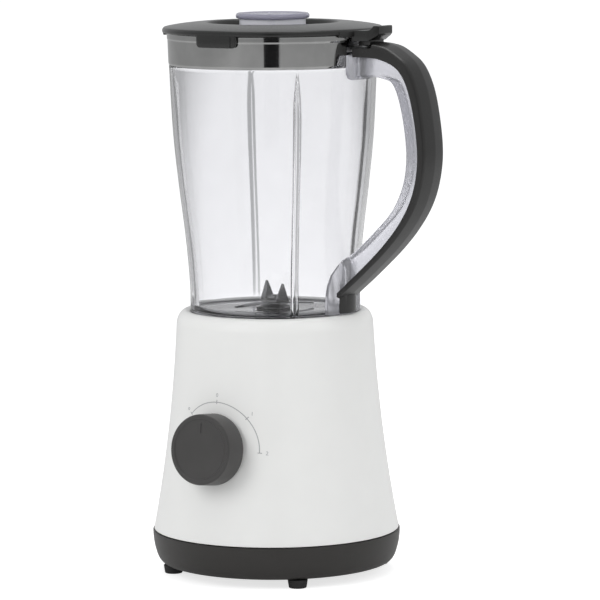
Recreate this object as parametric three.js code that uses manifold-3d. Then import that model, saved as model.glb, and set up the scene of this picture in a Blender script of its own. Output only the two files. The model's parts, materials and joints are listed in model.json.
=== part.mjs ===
// Countertop blender: a motor base, a clear jar with a handle, a lid and a measuring cap.
// Millimetres, +Z up. The knob faces -Y and the handle points to +X.
// The origin is the middle of the footprint, on the surface that the blender stands on.

import * as THREE from 'three';
import { mergeVertices } from 'three/addons/utils/BufferGeometryUtils.js';
import Module from 'manifold-3d';

const wasm = await Module();
wasm.setup();

// ---------------------------------------------------------------- driving dimensions

const fitGap = 0.3; // between pieces that touch or nest
const runningGap = 0.15; // radial, between a shaft and its bearing
const roundSegments = 32; // facets of the large round shells
const smallSegments = 16; // facets of shafts, bearings and screws

// Heights above the surface that the blender stands on
const footHeight = 6;
const seamHeight = 29; // between the grey base cover and the white housing
const knobHeight = 92;
const deckHeight = 155.5; // floor of the socket that the jar stands in
const shoulderHeight = 168; // where the housing starts to round in to the socket
const housingTop = 178.9;
const jarFloor = 178.5;
const bandBottom = 344.6;
const jarRim = 366.2;
const capTop = 379.4;

// Motor base
const housingWall = 2.6;
const housingNeck = 66.9; // outer radius at the shoulder
const housingTaper = 0.05; // growth of the radius per mm below the shoulder
const housingFlare = 0.0005; // and its growth per square mm
const socketRadius = 57.2;
const coverRadius = 84.2; // widest part of the base cover, at the seam
const coverFloor = 2.5;
const footCircle = 71.5;
const footRadius = 6.8;
const screwCircle = 66;
const screwAngles = [20, 160, 200, 340]; // degrees from the handle's direction
const glandHeight = 17;
const glandWall = 82.8; // radius of the cover at the gland
const glandLean = 1.1 / 4.5; // and the outward lean of its wall there

// Knob, in its own frame: +Z out of the housing wall, +Y up along it
const knobRadius = 24;
const knobDepth = 17.6;
const knobTilt = THREE.MathUtils.degToRad(7); // the wall leans back by this much
const switchShaftRadius = 3;
const switchSize = 32;

// Motor
const shaftRadius = 4;
const stackBottom = 82;
const stackTop = 114;
const armatureRadius = 19.5;
const lowerBracketHeight = 46;
const upperBracketHeight = 139;
const bracketThickness = 3;
const boltOffset = 34.5;
const damperOffsetX = 45;
const damperOffsetY = 9;
const fanRadius = 30;
const brushHeight = 64;

// Jar
const jarWall = 2.6;
const jarSkirtRadius = 56.6;
const jarRimRadius = 68.9; // under the steel band
const ribDepth = 3.4;
const ribWidth = 4.6;
const bandRadius = 70.4;
const bandFlare = 1;
const gripWidth = 26;
const coreWidth = 19;
const coreDepth = 11.5; // from the grip's edge to the finger side
const coreTongue = 1; // how far the clear core reaches into the grip
const tabRecessFloor = 357.7; // bottom of the recess in the grip's top, under the lid's tab

// Lid and measuring cap
const lidRadius = 74.4;
const lidRecess = 44.6;
const capHole = 23.2;
const capFlange = 25;

// Blades
const bladeShaftRadius = 4;
const upBladeAngle = THREE.MathUtils.degToRad(-31.5); // from +X, turning towards +Y
const couplingRadius = 15;

// ---------------------------------------------------------------- geometry helpers

/** Position-only geometry with shared vertices and without zero-size triangles. */
function weld(geometry) {
  const bare = geometry.index ? geometry.toNonIndexed() : geometry.clone();
  bare.deleteAttribute('normal');
  bare.deleteAttribute('uv');
  const merged = mergeVertices(bare, 1e-4);
  const index = merged.index.array;
  const kept = [];
  for (let i = 0; i < index.length; i += 3) {
    const [a, b, c] = [index[i], index[i + 1], index[i + 2]];
    if (a !== b && b !== c && c !== a) {
      kept.push(a, b, c);
    }
  }
  merged.setIndex(kept);
  return merged;
}

function toSolid(geometry) {
  const welded = weld(geometry);
  const vertProperties = new Float32Array(welded.attributes.position.array);
  const triVerts = new Uint32Array(welded.index.array);
  return new wasm.Manifold(new wasm.Mesh({ numProp: 3, vertProperties, triVerts }));
}

function toGeometry(solid) {
  const mesh = solid.getMesh();
  const geometry = new THREE.BufferGeometry();
  geometry.setAttribute('position', new THREE.BufferAttribute(new Float32Array(mesh.vertProperties), 3));
  geometry.setIndex(new THREE.BufferAttribute(new Uint32Array(mesh.triVerts), 1));
  return geometry;
}

/** One geometry from several that touch or overlap. */
function join(...geometries) {
  return toGeometry(geometries.map(toSolid).reduce((sum, next) => sum.add(next)));
}

/** The first geometry with all the others taken out of it. */
function cut(geometry, ...tools) {
  return toGeometry(tools.map(toSolid).reduce((rest, tool) => rest.subtract(tool), toSolid(geometry)));
}

/** What two geometries share. */
function common(first, second) {
  return toGeometry(toSolid(first).intersect(toSolid(second)));
}

/** Solid of revolution about Z from [radius, height] points, outer side going up. */
function turned(profile, segments = smallSegments) {
  const onAxis = profile[0][0] === 0 && profile.at(-1)[0] === 0;
  const outline = onAxis ? profile : [...profile, profile[0]];
  const points = outline.map(([radius, height]) => new THREE.Vector2(radius, height));
  return new THREE.LatheGeometry(points, segments).rotateX(Math.PI / 2);
}

function tube(outer, inner, bottom, top, segments = smallSegments) {
  return turned([[outer, bottom], [outer, top], [inner, top], [inner, bottom]], segments);
}

function rod(radius, bottom, top, segments = smallSegments) {
  return turned([[0, bottom], [radius, bottom], [radius, top], [0, top]], segments);
}

/** Nut with flat sides and a round bore. */
function nut(radius, bore, bottom, top, sides) {
  return cut(rod(radius, bottom, top, sides), rod(bore, bottom - 1, top + 1));
}

/** Box from its lowest to its highest corner. */
function block([x0, y0, z0], [x1, y1, z1]) {
  const box = new THREE.BoxGeometry(x1 - x0, y1 - y0, z1 - z0);
  return box.translate((x0 + x1) / 2, (y0 + y1) / 2, (z0 + z1) / 2);
}

function shapeOf(points) {
  return new THREE.Shape(points.map(([x, y]) => new THREE.Vector2(x, y)));
}

/** Plate lying flat, from an outline of [x, y] points. */
function plate(points, bottom, top) {
  const extruded = new THREE.ExtrudeGeometry(shapeOf(points), { depth: top - bottom, bevelEnabled: false });
  return extruded.translate(0, 0, bottom);
}

/** Slab standing in the X-Z plane, from an outline of [x, z] points, centred on y = 0. */
function slab(points, width, bevel = 0) {
  const extruded = new THREE.ExtrudeGeometry(shapeOf(points), {
    depth: width - 2 * bevel,
    bevelEnabled: bevel > 0,
    bevelThickness: bevel,
    bevelSize: bevel,
    bevelOffset: -bevel,
    bevelSegments: 2,
  });
  return extruded.translate(0, 0, bevel - width / 2).rotateX(Math.PI / 2);
}

/** Sector of a flat ring, as a plate. */
function sector(inner, outer, middle, span, bottom, top, steps = 5) {
  const angles = Array.from({ length: steps + 1 }, (_, i) => middle + span * (i / steps - 0.5));
  const onCircle = (radius) => (angle) => [radius * Math.cos(angle), radius * Math.sin(angle)];
  return plate([...angles.map(onCircle(outer)), ...angles.toReversed().map(onCircle(inner))], bottom, top);
}

function smoothCurve(points) {
  return new THREE.SplineCurve(points.map(([x, y]) => new THREE.Vector2(x, y)));
}

/** Points of a curve moved sideways: to the left of its direction where distance is positive. */
function beside(curve, distance, count) {
  return Array.from({ length: count + 1 }, (_, i) => {
    const point = curve.getPoint(i / count);
    const along = curve.getTangent(i / count);
    return [point.x - along.y * distance, point.y + along.x * distance];
  });
}

// ---------------------------------------------------------------- materials and assembly

const finishes = {
  whitePlastic: { color: 0xececea, roughness: 0.32, metalness: 0 },
  greyPlastic: { color: 0x3e3c3a, roughness: 0.5, metalness: 0 },
  knobPlastic: { color: 0x504e4e, roughness: 0.45, metalness: 0 },
  lidPlastic: { color: 0x4b4c49, roughness: 0.42, metalness: 0 },
  clearPlastic: { color: 0xd9d9e2, roughness: 0.08, metalness: 0 },
  capPlastic: { color: 0xa7a5bb, roughness: 0.12, metalness: 0 },
  polishedSteel: { color: 0x9a9a98, roughness: 0.12, metalness: 1 },
  bladeSteel: { color: 0xb0b0ac, roughness: 0.25, metalness: 1 },
  zincSteel: { color: 0x9b9d9f, roughness: 0.4, metalness: 1 },
  laminatedSteel: { color: 0x6a6d70, roughness: 0.55, metalness: 0.9 },
  copper: { color: 0xb5653a, roughness: 0.4, metalness: 0.9 },
  brass: { color: 0xb8963f, roughness: 0.35, metalness: 1 },
  carbon: { color: 0x1e1e1f, roughness: 0.8, metalness: 0 },
  rubber: { color: 0x262626, roughness: 0.85, metalness: 0 },
  blackPlastic: { color: 0x202123, roughness: 0.5, metalness: 0 },
  paleRubber: { color: 0xc9c9c6, roughness: 0.7, metalness: 0 },
};

/** Adds one named piece to a group. */
function piece(group, name, geometry, finish) {
  const mesh = new THREE.Mesh(weld(geometry), new THREE.MeshStandardMaterial(finishes[finish]));
  mesh.name = name;
  group.add(mesh);
  return mesh;
}

// ---------------------------------------------------------------- motor base

function housingRadius(height) {
  const below = Math.max(0, shoulderHeight - height);
  return housingNeck + housingTaper * below + housingFlare * below ** 2;
}

/** Outer side of the housing, from the seam to the shoulder. */
function housingSide(inset, bottom, top, steps) {
  return Array.from({ length: steps + 1 }, (_, i) => {
    const height = bottom + (top - bottom) * (i / steps);
    return [housingRadius(height) - inset, height];
  });
}

const knobCentre = new THREE.Vector3(0, -housingRadius(knobHeight), knobHeight);

/** Puts geometry made in the knob's frame where the knob is. */
function atKnob(geometry) {
  return geometry
    .rotateX(Math.PI / 2 - knobTilt)
    .translate(knobCentre.x, knobCentre.y, knobCentre.z);
}

function screwPlaces() {
  return screwAngles.map((degrees) => {
    const angle = THREE.MathUtils.degToRad(degrees);
    return { angle, x: screwCircle * Math.cos(angle), y: screwCircle * Math.sin(angle) };
  });
}

function housing() {
  const deckUnderside = deckHeight - housingWall;
  const shaftHole = 10;
  const shell = turned([
    ...housingSide(0, seamHeight + 0.2, shoulderHeight, 6),
    [housingNeck - 0.2, 171],
    [housingNeck - 1.3, 174.5],
    [housingNeck - 2.9, 177],
    [housingNeck - 4.8, housingTop - 0.4],
    [housingNeck - 6.7, housingTop],
    [socketRadius + 1, housingTop - 0.4],
    [socketRadius, housingTop - 1.4],
    [socketRadius, deckHeight],
    [shaftHole, deckHeight],
    [shaftHole, deckUnderside],
    [socketRadius + housingWall - 0.6, deckUnderside],
    ...housingSide(housingWall, seamHeight + 0.2, deckUnderside + 3, 4).toReversed(),
  ], roundSegments);
  const postBottom = footHeight + coverFloor + 0.5;
  const postTop = 60;
  const ribBottom = 36;
  const posts = screwPlaces().flatMap(({ angle, x, y }) => {
    const post = rod(4.5, postBottom, postTop, 12).translate(x, y, 0);
    const ribEnd = housingRadius(postTop) - housingWall / 2;
    const rib = block([screwCircle, -1.5, ribBottom], [ribEnd, 1.5, postTop]).rotateZ(angle);
    return [post, rib];
  });
  const pilotHoles = screwPlaces().map(({ x, y }) => rod(1.7, postBottom - 1, 24, 12).translate(x, y, 0));
  const switchHole = atKnob(rod(5.2, -housingWall * 2, housingWall * 2));
  return cut(join(shell, ...posts), ...pilotHoles, switchHole);
}

function baseCover() {
  const underside = footHeight;
  const floorTop = underside + coverFloor;
  const lipTop = seamHeight + 4;
  const shell = turned([
    [0, underside],
    [74.5, underside],
    [77.5, 6.8],
    [79.4, 8.4],
    [80.9, 10.6],
    [82.2, 14.5],
    [83.3, 19],
    [coverRadius - 0.2, 24],
    [coverRadius, 28.2],
    [coverRadius - 0.5, seamHeight - 0.2],
    [80, seamHeight - 0.2],
    [80, lipTop],
    [78.4, lipTop],
    [78.4, 26],
    [77.6, 10],
    [76, floorTop],
    [0, floorTop],
  ], roundSegments);
  const footHoles = footPlaces().map(({ x, y }) => rod(2.2, 0, 20, 12).translate(x, y, 0));
  const screwHoles = screwPlaces().flatMap(({ x, y }) => [
    rod(2, 0, 20, 12).translate(x, y, 0),
    rod(4, 0, underside + 1.5, 12).translate(x, y, 0),
  ]);
  const glandHole = atGland(rod(6.4, -20, 20));
  const ventCount = 12;
  const vents = Array.from({ length: ventCount }, (_, i) => {
    const slot = block([17, -1.6, 0], [i % 2 ? 34 : 46, 1.6, 20]);
    return slot.rotateZ((2 * Math.PI * (i + 0.5)) / ventCount);
  });
  return cut(shell, ...footHoles, ...screwHoles, glandHole, ...vents);
}

function footPlaces() {
  return [0, 1, 2, 3].map((quarter) => {
    const angle = Math.PI / 4 + (quarter * Math.PI) / 2;
    return { x: footCircle * Math.cos(angle), y: footCircle * Math.sin(angle) };
  });
}

function foot() {
  const top = footHeight - fitGap;
  return turned([
    [0, 0],
    [footRadius - 1, 0],
    [footRadius - 0.3, 0.7],
    [footRadius, top],
    [1.9, top],
    [1.9, 11],
    [0, 11],
  ]);
}

function baseScrew() {
  const headBottom = footHeight + 0.2;
  return turned([[0, headBottom], [3.6, headBottom], [3.6, 7.2], [1.4, 7.2], [1.4, 22], [0, 22]], 12);
}

/** Puts geometry made along +Z on the cover's back wall, square to the wall. */
function atGland(geometry) {
  return geometry.rotateX(-Math.PI / 2 - Math.atan(glandLean)).translate(0, glandWall, glandHeight);
}

function cordGland() {
  const bore = 3.4;
  return atGland(turned([
    [bore, -8],
    [6, -8],
    [6, 0.4],
    [8.6, 0.4],
    [8.6, 1.8],
    [7.6, 2.6],
    [bore, 2.6],
  ]));
}

function motorBase(blender) {
  piece(blender, 'housing', housing(), 'whitePlastic');
  piece(blender, 'base_cover', baseCover(), 'greyPlastic');
  const footNames = ['foot_right_back', 'foot_left_back', 'foot_left_front', 'foot_right_front'];
  footPlaces().forEach(({ x, y }, i) => {
    piece(blender, footNames[i], foot(), 'rubber').position.set(x, y, 0);
  });
  screwPlaces().forEach(({ x, y }, i) => {
    piece(blender, `base_screw_${i + 1}`, baseScrew(), 'zincSteel').position.set(x, y, 0);
  });
  piece(blender, 'cord_gland', cordGland(), 'blackPlastic');
}

// ---------------------------------------------------------------- knob and switch

function knobAndSwitch(blender) {
  const knobFrame = new THREE.Group();
  knobFrame.position.copy(knobCentre);
  knobFrame.rotation.x = Math.PI / 2 - knobTilt;
  blender.add(knobFrame);

  const hubRadius = 7;
  const shaftEnd = 13.6;
  const knob = turned([
    [0, shaftEnd + fitGap],
    [switchShaftRadius + 0.2, shaftEnd + fitGap],
    [switchShaftRadius + 0.2, 3.8],
    [hubRadius, 3.8],
    [hubRadius, knobDepth - 3],
    [knobRadius - 3, knobDepth - 3],
    [knobRadius - 2.2, 0.8],
    [knobRadius, 0.8],
    [knobRadius - 0.4, knobDepth - 2.2],
    [knobRadius - 1.4, knobDepth - 0.6],
    [knobRadius - 3, knobDepth],
    [knobRadius - 4.6, knobDepth - 0.7],
    [0, knobDepth - 1.2],
  ], roundSegments);
  piece(knobFrame, 'speed_knob', knob, 'knobPlastic');
  piece(knobFrame, 'switch_shaft', rod(switchShaftRadius, -20, shaftEnd), 'zincSteel');

  const bodyFront = -5.6;
  const half = switchSize / 2;
  const body = cut(
    join(block([-half, -half, bodyFront - 18], [half, half, bodyFront]), rod(4.8, bodyFront - 1, 3.2)),
    rod(switchShaftRadius + 0.2, -21, 10),
  );
  piece(knobFrame, 'switch_body', body, 'blackPlastic');
  piece(knobFrame, 'switch_nut', nut(7.5, 5.1, 0.5, 3.1, 6), 'zincSteel');
}

// ---------------------------------------------------------------- motor

function roundedBar(halfLength, halfWidth) {
  const corner = 5;
  const centres = [[1, 1], [-1, 1], [-1, -1], [1, -1]];
  return centres.flatMap(([sx, sy], quarter) => [0, 1, 2].map((step) => {
    const angle = (quarter + step / 2) * (Math.PI / 2);
    const x = sx * (halfLength - corner) + corner * Math.cos(angle);
    const y = sy * (halfWidth - corner) + corner * Math.sin(angle);
    return [x, y];
  }));
}

function statorCore() {
  const outline = plate(roundedBar(38, 29), stackBottom, stackTop);
  const bore = rod(armatureRadius + 0.9, stackBottom - 1, stackTop + 1, 36);
  const windows = [-1, 1].flatMap((sx) => [-1, 1].map((sy) => block(
    [Math.min(sx * 16, sx * 30.6), Math.min(sy * 16.2, sy * 23), stackBottom - 1],
    [Math.max(sx * 16, sx * 30.6), Math.max(sy * 16.2, sy * 23), stackTop + 1],
  )));
  return cut(outline, bore, ...windows, ...boltHoles(stackBottom - 1, stackTop + 1));
}

function boltHoles(bottom, top) {
  return [-1, 1].map((side) => rod(2.5, bottom, top, 12).translate(side * boltOffset, 0, 0));
}

/** Coil wound round one pole: legs run through the stator's windows. */
function fieldCoil(side) {
  const [near, far] = [20.8, 30.2];
  const [low, high] = side > 0 ? [near, far] : [-far, -near];
  const endTurn = 6;
  const outer = block([low, -22.6, stackBottom - endTurn], [high, 22.6, stackTop + endTurn]);
  const inner = block([low - 1, -16.6, stackBottom - fitGap], [high + 1, 16.6, stackTop + fitGap]);
  const coil = cut(outer, inner);
  return cut(coil, rod(armatureRadius + 1.6, 0, 200, 36));
}

function armatureCore() {
  const slots = 12;
  const outline = Array.from({ length: slots }, (_, i) => {
    const middle = (2 * Math.PI * i) / slots;
    const halfTooth = 0.21;
    const neck = 0.08;
    const at = (radius, angle) => [radius * Math.cos(middle + angle), radius * Math.sin(middle + angle)];
    return [
      at(12, -neck),
      at(17.6, -neck),
      at(18, -halfTooth),
      at(armatureRadius, -halfTooth),
      at(armatureRadius, halfTooth),
      at(18, halfTooth),
      at(17.6, neck),
      at(12, neck),
    ];
  }).flat();
  return cut(plate(outline, stackBottom, stackTop), rod(shaftRadius + fitGap, stackBottom - 1, stackTop + 1));
}

function endWinding(bottom, top) {
  const inner = shaftRadius + fitGap;
  return turned([
    [inner, bottom],
    [13, bottom],
    [17, bottom + 2],
    [17, top - 2],
    [13, top],
    [inner, top],
  ]);
}

function coolingFan() {
  const [bottom, discTop, bladeTop] = [29, 31, 40];
  const disc = tube(fanRadius, shaftRadius + fitGap, bottom, discTop, 24);
  const hub = tube(8, shaftRadius + fitGap, bottom, bladeTop);
  const bladeCount = 8;
  const blades = Array.from({ length: bladeCount }, (_, i) => {
    const blade = block([7, -0.8, discTop - 0.5], [fanRadius - 1, 0.8, bladeTop]);
    return blade.rotateZ((2 * Math.PI * i) / bladeCount);
  });
  return join(disc, hub, ...blades);
}

/** Bar across the motor with a bearing cup in the middle and two legs to the stator. */
function motorBracket(height, halfLength, halfWidth, cup, legBottom, legTop) {
  const top = height + bracketThickness;
  const bar = plate(roundedBar(halfLength, halfWidth), height, top);
  const boss = rod(cup.outer, cup.bottom, cup.top, smallSegments);
  const legs = [-1, 1].map((side) => {
    const middle = side * boltOffset;
    return block([middle - 3.4, -7, legBottom], [middle + 3.4, 7, legTop]);
  });
  const cupBore = rod(cup.inner, cup.bottom - 1, cup.top + 1);
  return cut(join(bar, boss, ...legs), cupBore, ...boltHoles(legBottom - 5, legTop + 5));
}

function bearing(outer, bottom, top) {
  return tube(outer, shaftRadius + runningGap, bottom, top);
}

function motorBolt() {
  const [headBottom, headTop] = [lowerBracketHeight - 3, lowerBracketHeight - fitGap];
  const end = upperBracketHeight + bracketThickness + 2;
  return turned([[0, headBottom], [4, headBottom], [4, headTop], [2, headTop], [2, end], [0, end]], 12);
}

/** Box-section holder with a leg down to the lower bracket, on the -Y or +Y side. */
function brushHolder() {
  const [inner, outer] = [14, 34];
  const half = 6;
  const slideway = 4.4;
  const body = block([-half, inner, brushHeight - half], [half, outer, brushHeight + half]);
  const legBottom = lowerBracketHeight + bracketThickness + fitGap;
  const leg = block([-half, inner, legBottom], [half, inner + 5, brushHeight]);
  const way = block(
    [-slideway, inner - 1, brushHeight - slideway],
    [slideway, outer - 2, brushHeight + slideway],
  );
  return cut(join(body, leg), way);
}

function carbonBrush() {
  const half = 4;
  return block([-half, 11.4, brushHeight - half], [half, 24, brushHeight + half]);
}

/** Wire helix that presses the brush onto the commutator. */
class SpringCurve extends THREE.Curve {
  getPoint(t) {
    const [turns, radius, start, length] = [4, 2.6, 24.8, 6.2];
    const angle = 2 * Math.PI * turns * t;
    return new THREE.Vector3(radius * Math.cos(angle), start + length * t, radius * Math.sin(angle));
  }
}

function brushSpring() {
  const wire = 0.4;
  const section = shapeOf([0, 1, 2, 3].map((i) => {
    const angle = (Math.PI * i) / 2;
    return [wire * Math.cos(angle), wire * Math.sin(angle)];
  }));
  const coil = new THREE.ExtrudeGeometry(section, { steps: 28, bevelEnabled: false, extrudePath: new SpringCurve() });
  return coil.translate(0, 0, brushHeight);
}

/** Disc with four dogs that mesh with the other half of the coupling. */
function dogCoupling(discBottom, discTop, dogBottom, dogTop, bore, turn) {
  const dogSpan = THREE.MathUtils.degToRad(34);
  const disc = tube(couplingRadius, bore, discBottom, discTop, 24);
  const dogs = [0, 1, 2, 3].map((i) => {
    const middle = turn + (i * Math.PI) / 2;
    return sector(8, couplingRadius - 1, middle, dogSpan, dogBottom, dogTop, 2);
  });
  return join(disc, ...dogs);
}

function motor(blender) {
  const shaftBottom = 27;
  const driveTop = 160.2;
  piece(blender, 'motor_shaft', rod(shaftRadius, shaftBottom, driveTop), 'zincSteel');
  piece(blender, 'armature_core', armatureCore(), 'laminatedSteel');
  piece(blender, 'armature_winding_lower', endWinding(stackBottom - 8, stackBottom - fitGap), 'copper');
  piece(blender, 'armature_winding_upper', endWinding(stackTop + fitGap, stackTop + 8), 'copper');
  piece(blender, 'commutator', tube(11, shaftRadius + fitGap, brushHeight - 6, brushHeight + 7), 'brass');
  piece(blender, 'cooling_fan', coolingFan(), 'blackPlastic');
  const drive = dogCoupling(157, driveTop, driveTop - 0.5, 165.7, shaftRadius + fitGap, 0);
  piece(blender, 'drive_coupling', drive, 'blackPlastic');

  piece(blender, 'stator_core', statorCore(), 'laminatedSteel');
  piece(blender, 'field_coil_left', fieldCoil(-1), 'copper');
  piece(blender, 'field_coil_right', fieldCoil(1), 'copper');
  const lowerCup = { outer: 11, inner: 9, bottom: lowerBracketHeight, top: 54 };
  const upperCup = { outer: 13.4, inner: 11.4, bottom: 133, top: upperBracketHeight + bracketThickness };
  const lowerLegTop = stackBottom - fitGap;
  const lowerBracket = motorBracket(lowerBracketHeight, 41, 22, lowerCup, lowerBracketHeight + 1, lowerLegTop);
  const upperLegBottom = stackTop + fitGap;
  const upperBracket = motorBracket(upperBracketHeight, 52, 16, upperCup, upperLegBottom, upperBracketHeight + 1);
  piece(blender, 'motor_bracket_lower', lowerBracket, 'zincSteel');
  piece(blender, 'motor_bracket_upper', upperBracket, 'zincSteel');
  piece(blender, 'bearing_lower', bearing(8.7, lowerBracketHeight + 0.4, 53.4), 'zincSteel');
  piece(blender, 'bearing_upper', bearing(11.1, 133.6, 141.4), 'zincSteel');

  [-1, 1].forEach((side) => {
    const name = side < 0 ? 'left' : 'right';
    piece(blender, `motor_bolt_${name}`, motorBolt(), 'zincSteel').position.x = side * boltOffset;
  });
  ['back', 'front'].forEach((name, i) => {
    const turnedGroup = new THREE.Group();
    turnedGroup.rotation.z = i * Math.PI;
    blender.add(turnedGroup);
    piece(turnedGroup, `brush_holder_${name}`, brushHolder(), 'blackPlastic');
    piece(turnedGroup, `carbon_brush_${name}`, carbonBrush(), 'carbon');
    piece(turnedGroup, `brush_spring_${name}`, brushSpring(), 'zincSteel');
  });
  const damperBottom = upperBracketHeight + bracketThickness + fitGap;
  const damperTop = deckHeight - housingWall - fitGap;
  [[1, 1], [-1, 1], [-1, -1], [1, -1]].forEach(([sx, sy], i) => {
    const damper = piece(blender, `damper_${i + 1}`, tube(5, 2, damperBottom, damperTop, 16), 'rubber');
    damper.position.set(sx * damperOffsetX, sy * damperOffsetY, 0);
  });
  const seal = turned([
    [shaftRadius + 0.6, deckHeight - housingWall],
    [9.7, deckHeight - housingWall],
    [9.7, deckHeight + fitGap],
    [12, deckHeight + fitGap],
    [12, deckHeight + 1.1],
    [shaftRadius + 0.6, deckHeight + 1.1],
  ]);
  piece(blender, 'deck_seal', seal, 'rubber');
}

// ---------------------------------------------------------------- jar

// Outer side of the jar above the deck, as [radius, height]
const jarSide = smoothCurve([[57.2, 178], [57.6, 198], [60.2, 229], [64.6, 266], [67.9, 300], [70.1, bandBottom - fitGap]]);

function jarSidePoints(inset, count) {
  return jarSide.getPoints(count).map(({ x, y }) => [x - inset, y]);
}

/** Line where the grip's edge meets the clear core, from the band round to the jar's foot. */
const gripEdge = smoothCurve([
  [68, 351.6], [92, 350.4], [108.5, 341.5], [117.6, 318], [121.2, 283], [113.8, 254], [93.8, 226.8], [57, 193],
]);
const gripBack = smoothCurve([
  [73, 363.2], [90, 361.4], [107.6, 354.2], [119.6, 341], [125.4, 322], [128.479, 287], [122.6, 257.5],
  [109.6, 234.8], [91.6, 217.2], [73.4, 199.8],
]);
const curveSteps = 16;
const sideSteps = 8;

function coreOutline(grow) {
  const outerSide = beside(gripEdge, coreTongue + grow, curveSteps).filter(([x, z]) => x > 68.2 || z < 230);
  const fingerSide = beside(gripEdge, -coreDepth - grow, curveSteps).filter(([x, z]) => x > 68.2 || z < 230);
  return [[67.9, outerSide[0][1]], ...outerSide, ...fingerSide.toReversed(), [67.9, fingerSide[0][1]]];
}

/** Band of material round the jar's wall, as wide as the outline of [y, z] points. */
function saddle(outline, inner, outer, bottom, top) {
  const ring = tube(outer, inner, bottom, top, roundSegments);
  const window = new THREE.ExtrudeGeometry(shapeOf(outline), { depth: 60, bevelEnabled: false });
  window.rotateX(Math.PI / 2).rotateZ(Math.PI / 2).translate(40, 0, 0);
  return common(ring, window);
}

function upperSaddle(grow) {
  const half = 15 + grow;
  const [bottom, top] = [336.6 - grow, 351 + grow];
  return saddle([[-half, bottom], [half, bottom], [half, top], [-half, top]], 68, 73 + grow, bottom, top);
}

function lowerSaddle(grow) {
  const bottom = 179.5 - grow;
  const rightSide = [[22, 179.5], [22, 193], [20.6, 201], [17, 208], [11.5, 213], [4, 216]]
    .map(([y, z], i) => [y + grow, i === 0 ? bottom : z + grow]);
  const leftSide = rightSide.toReversed().map(([y, z]) => [-y, z]);
  return saddle([...rightSide, ...leftSide], 55.8, 59.4 + grow, bottom, 217 + grow);
}

function jarInnerSide() {
  return [
    [51, jarFloor],
    [53.6, 181],
    ...jarSidePoints(jarWall, sideSteps).filter(([, z]) => z > 186),
    [jarRimRadius - 2, jarRim],
  ];
}

/** Rib on the jar's inner wall, from the floor to a point near the top, in the X-Z plane. */
function jarRib() {
  const top = 336;
  const bottom = jarFloor - 1;
  const wallSide = jarSidePoints(jarWall, 8).slice(0, -1);
  const outline = [
    [wallSide[0][0] + 1, bottom],
    ...wallSide.slice(1).map(([radius, z]) => [radius + 1, z]),
    [jarSide.getPoint(1).x - jarWall + 0.5, top],
    ...wallSide.slice(1).toReversed().map(([radius, z]) => [radius - ribDepth, z]),
    [wallSide[0][0] - ribDepth, bottom],
  ];
  return slab(outline, ribWidth);
}

function jar() {
  const skirtBottom = deckHeight + fitGap;
  const underside = jarFloor - 3;
  const floorHole = 9.3;
  const shell = turned([
    [jarSkirtRadius, skirtBottom],
    [jarSkirtRadius, 177.6],
    ...jarSidePoints(0, sideSteps),
    [jarRimRadius, bandBottom],
    [jarRimRadius, jarRim],
    ...jarInnerSide().toReversed(),
    [floorHole, jarFloor],
    [floorHole, underside],
    [jarSkirtRadius - jarWall, underside],
    [jarSkirtRadius - jarWall, skirtBottom],
  ], roundSegments);
  const inside = turned([[0, jarFloor], ...jarInnerSide(), [0, jarRim]], roundSegments);
  const core = slab(coreOutline(0), coreWidth);
  const outerPieces = cut(join(core, upperSaddle(0), lowerSaddle(0)), inside);
  const ribs = [0, 1, 2, 3].map((quarter) => jarRib().rotateZ(Math.PI / 4 + (quarter * Math.PI) / 2));
  return join(shell, outerPieces, ...ribs);
}

/** Solid as large as the jar and its band, with a clearance round them. */
function jarEnvelope(clearance) {
  const bandTopRadius = bandRadius + bandFlare + clearance;
  return turned([
    [0, 150],
    [jarSide.getPoint(0).x + clearance, 150],
    ...jarSidePoints(-clearance, 12),
    [bandTopRadius, bandBottom],
    [bandTopRadius, 380],
    [0, 380],
  ], roundSegments);
}

function handleGrip() {
  const [footBottom, footTop] = [179.6, 190.5];
  const outline = [
    [69, 363.4],
    ...beside(gripBack, 0, curveSteps),
    [62.4, footTop],
    [62, 188],
    [62, footBottom],
    [58, footBottom],
    ...beside(gripEdge, 0, curveSteps).toReversed(),
  ];
  const bar = slab(outline, gripWidth, 1);
  const footRound = rod(18, footBottom - 2, footTop + 1, roundSegments).translate(44.2, 0, 0);
  const besideFoot = cut(block([40, -20, footBottom - 1], [80, 20, footTop]), footRound);
  const tabRecess = block([60, -20, tabRecessFloor], [86.5, 20, 400]);
  return cut(
    bar,
    jarEnvelope(0.4),
    slab(coreOutline(fitGap), coreWidth + 2 * fitGap),
    upperSaddle(fitGap),
    lowerSaddle(fitGap),
    besideFoot,
    tabRecess,
  );
}

function steelBand() {
  const inner = jarRimRadius + fitGap;
  const top = jarRim + 0.2;
  const ring = turned([
    [inner, bandBottom + 0.2],
    [bandRadius - 0.4, bandBottom + 0.2],
    [bandRadius, bandBottom + 1],
    [bandRadius + bandFlare - 0.2, top - 4],
    [bandRadius + bandFlare, top],
    [inner, top],
  ], roundSegments);
  const half = 15.6;
  return cut(ring, block([50, -half, 300], [90, half, 363.9]));
}

function jarAndHandle(blender) {
  piece(blender, 'jar', jar(), 'clearPlastic');
  piece(blender, 'handle_grip', handleGrip(), 'greyPlastic');
  piece(blender, 'steel_band', steelBand(), 'polishedSteel');
}

// ---------------------------------------------------------------- blades

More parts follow.
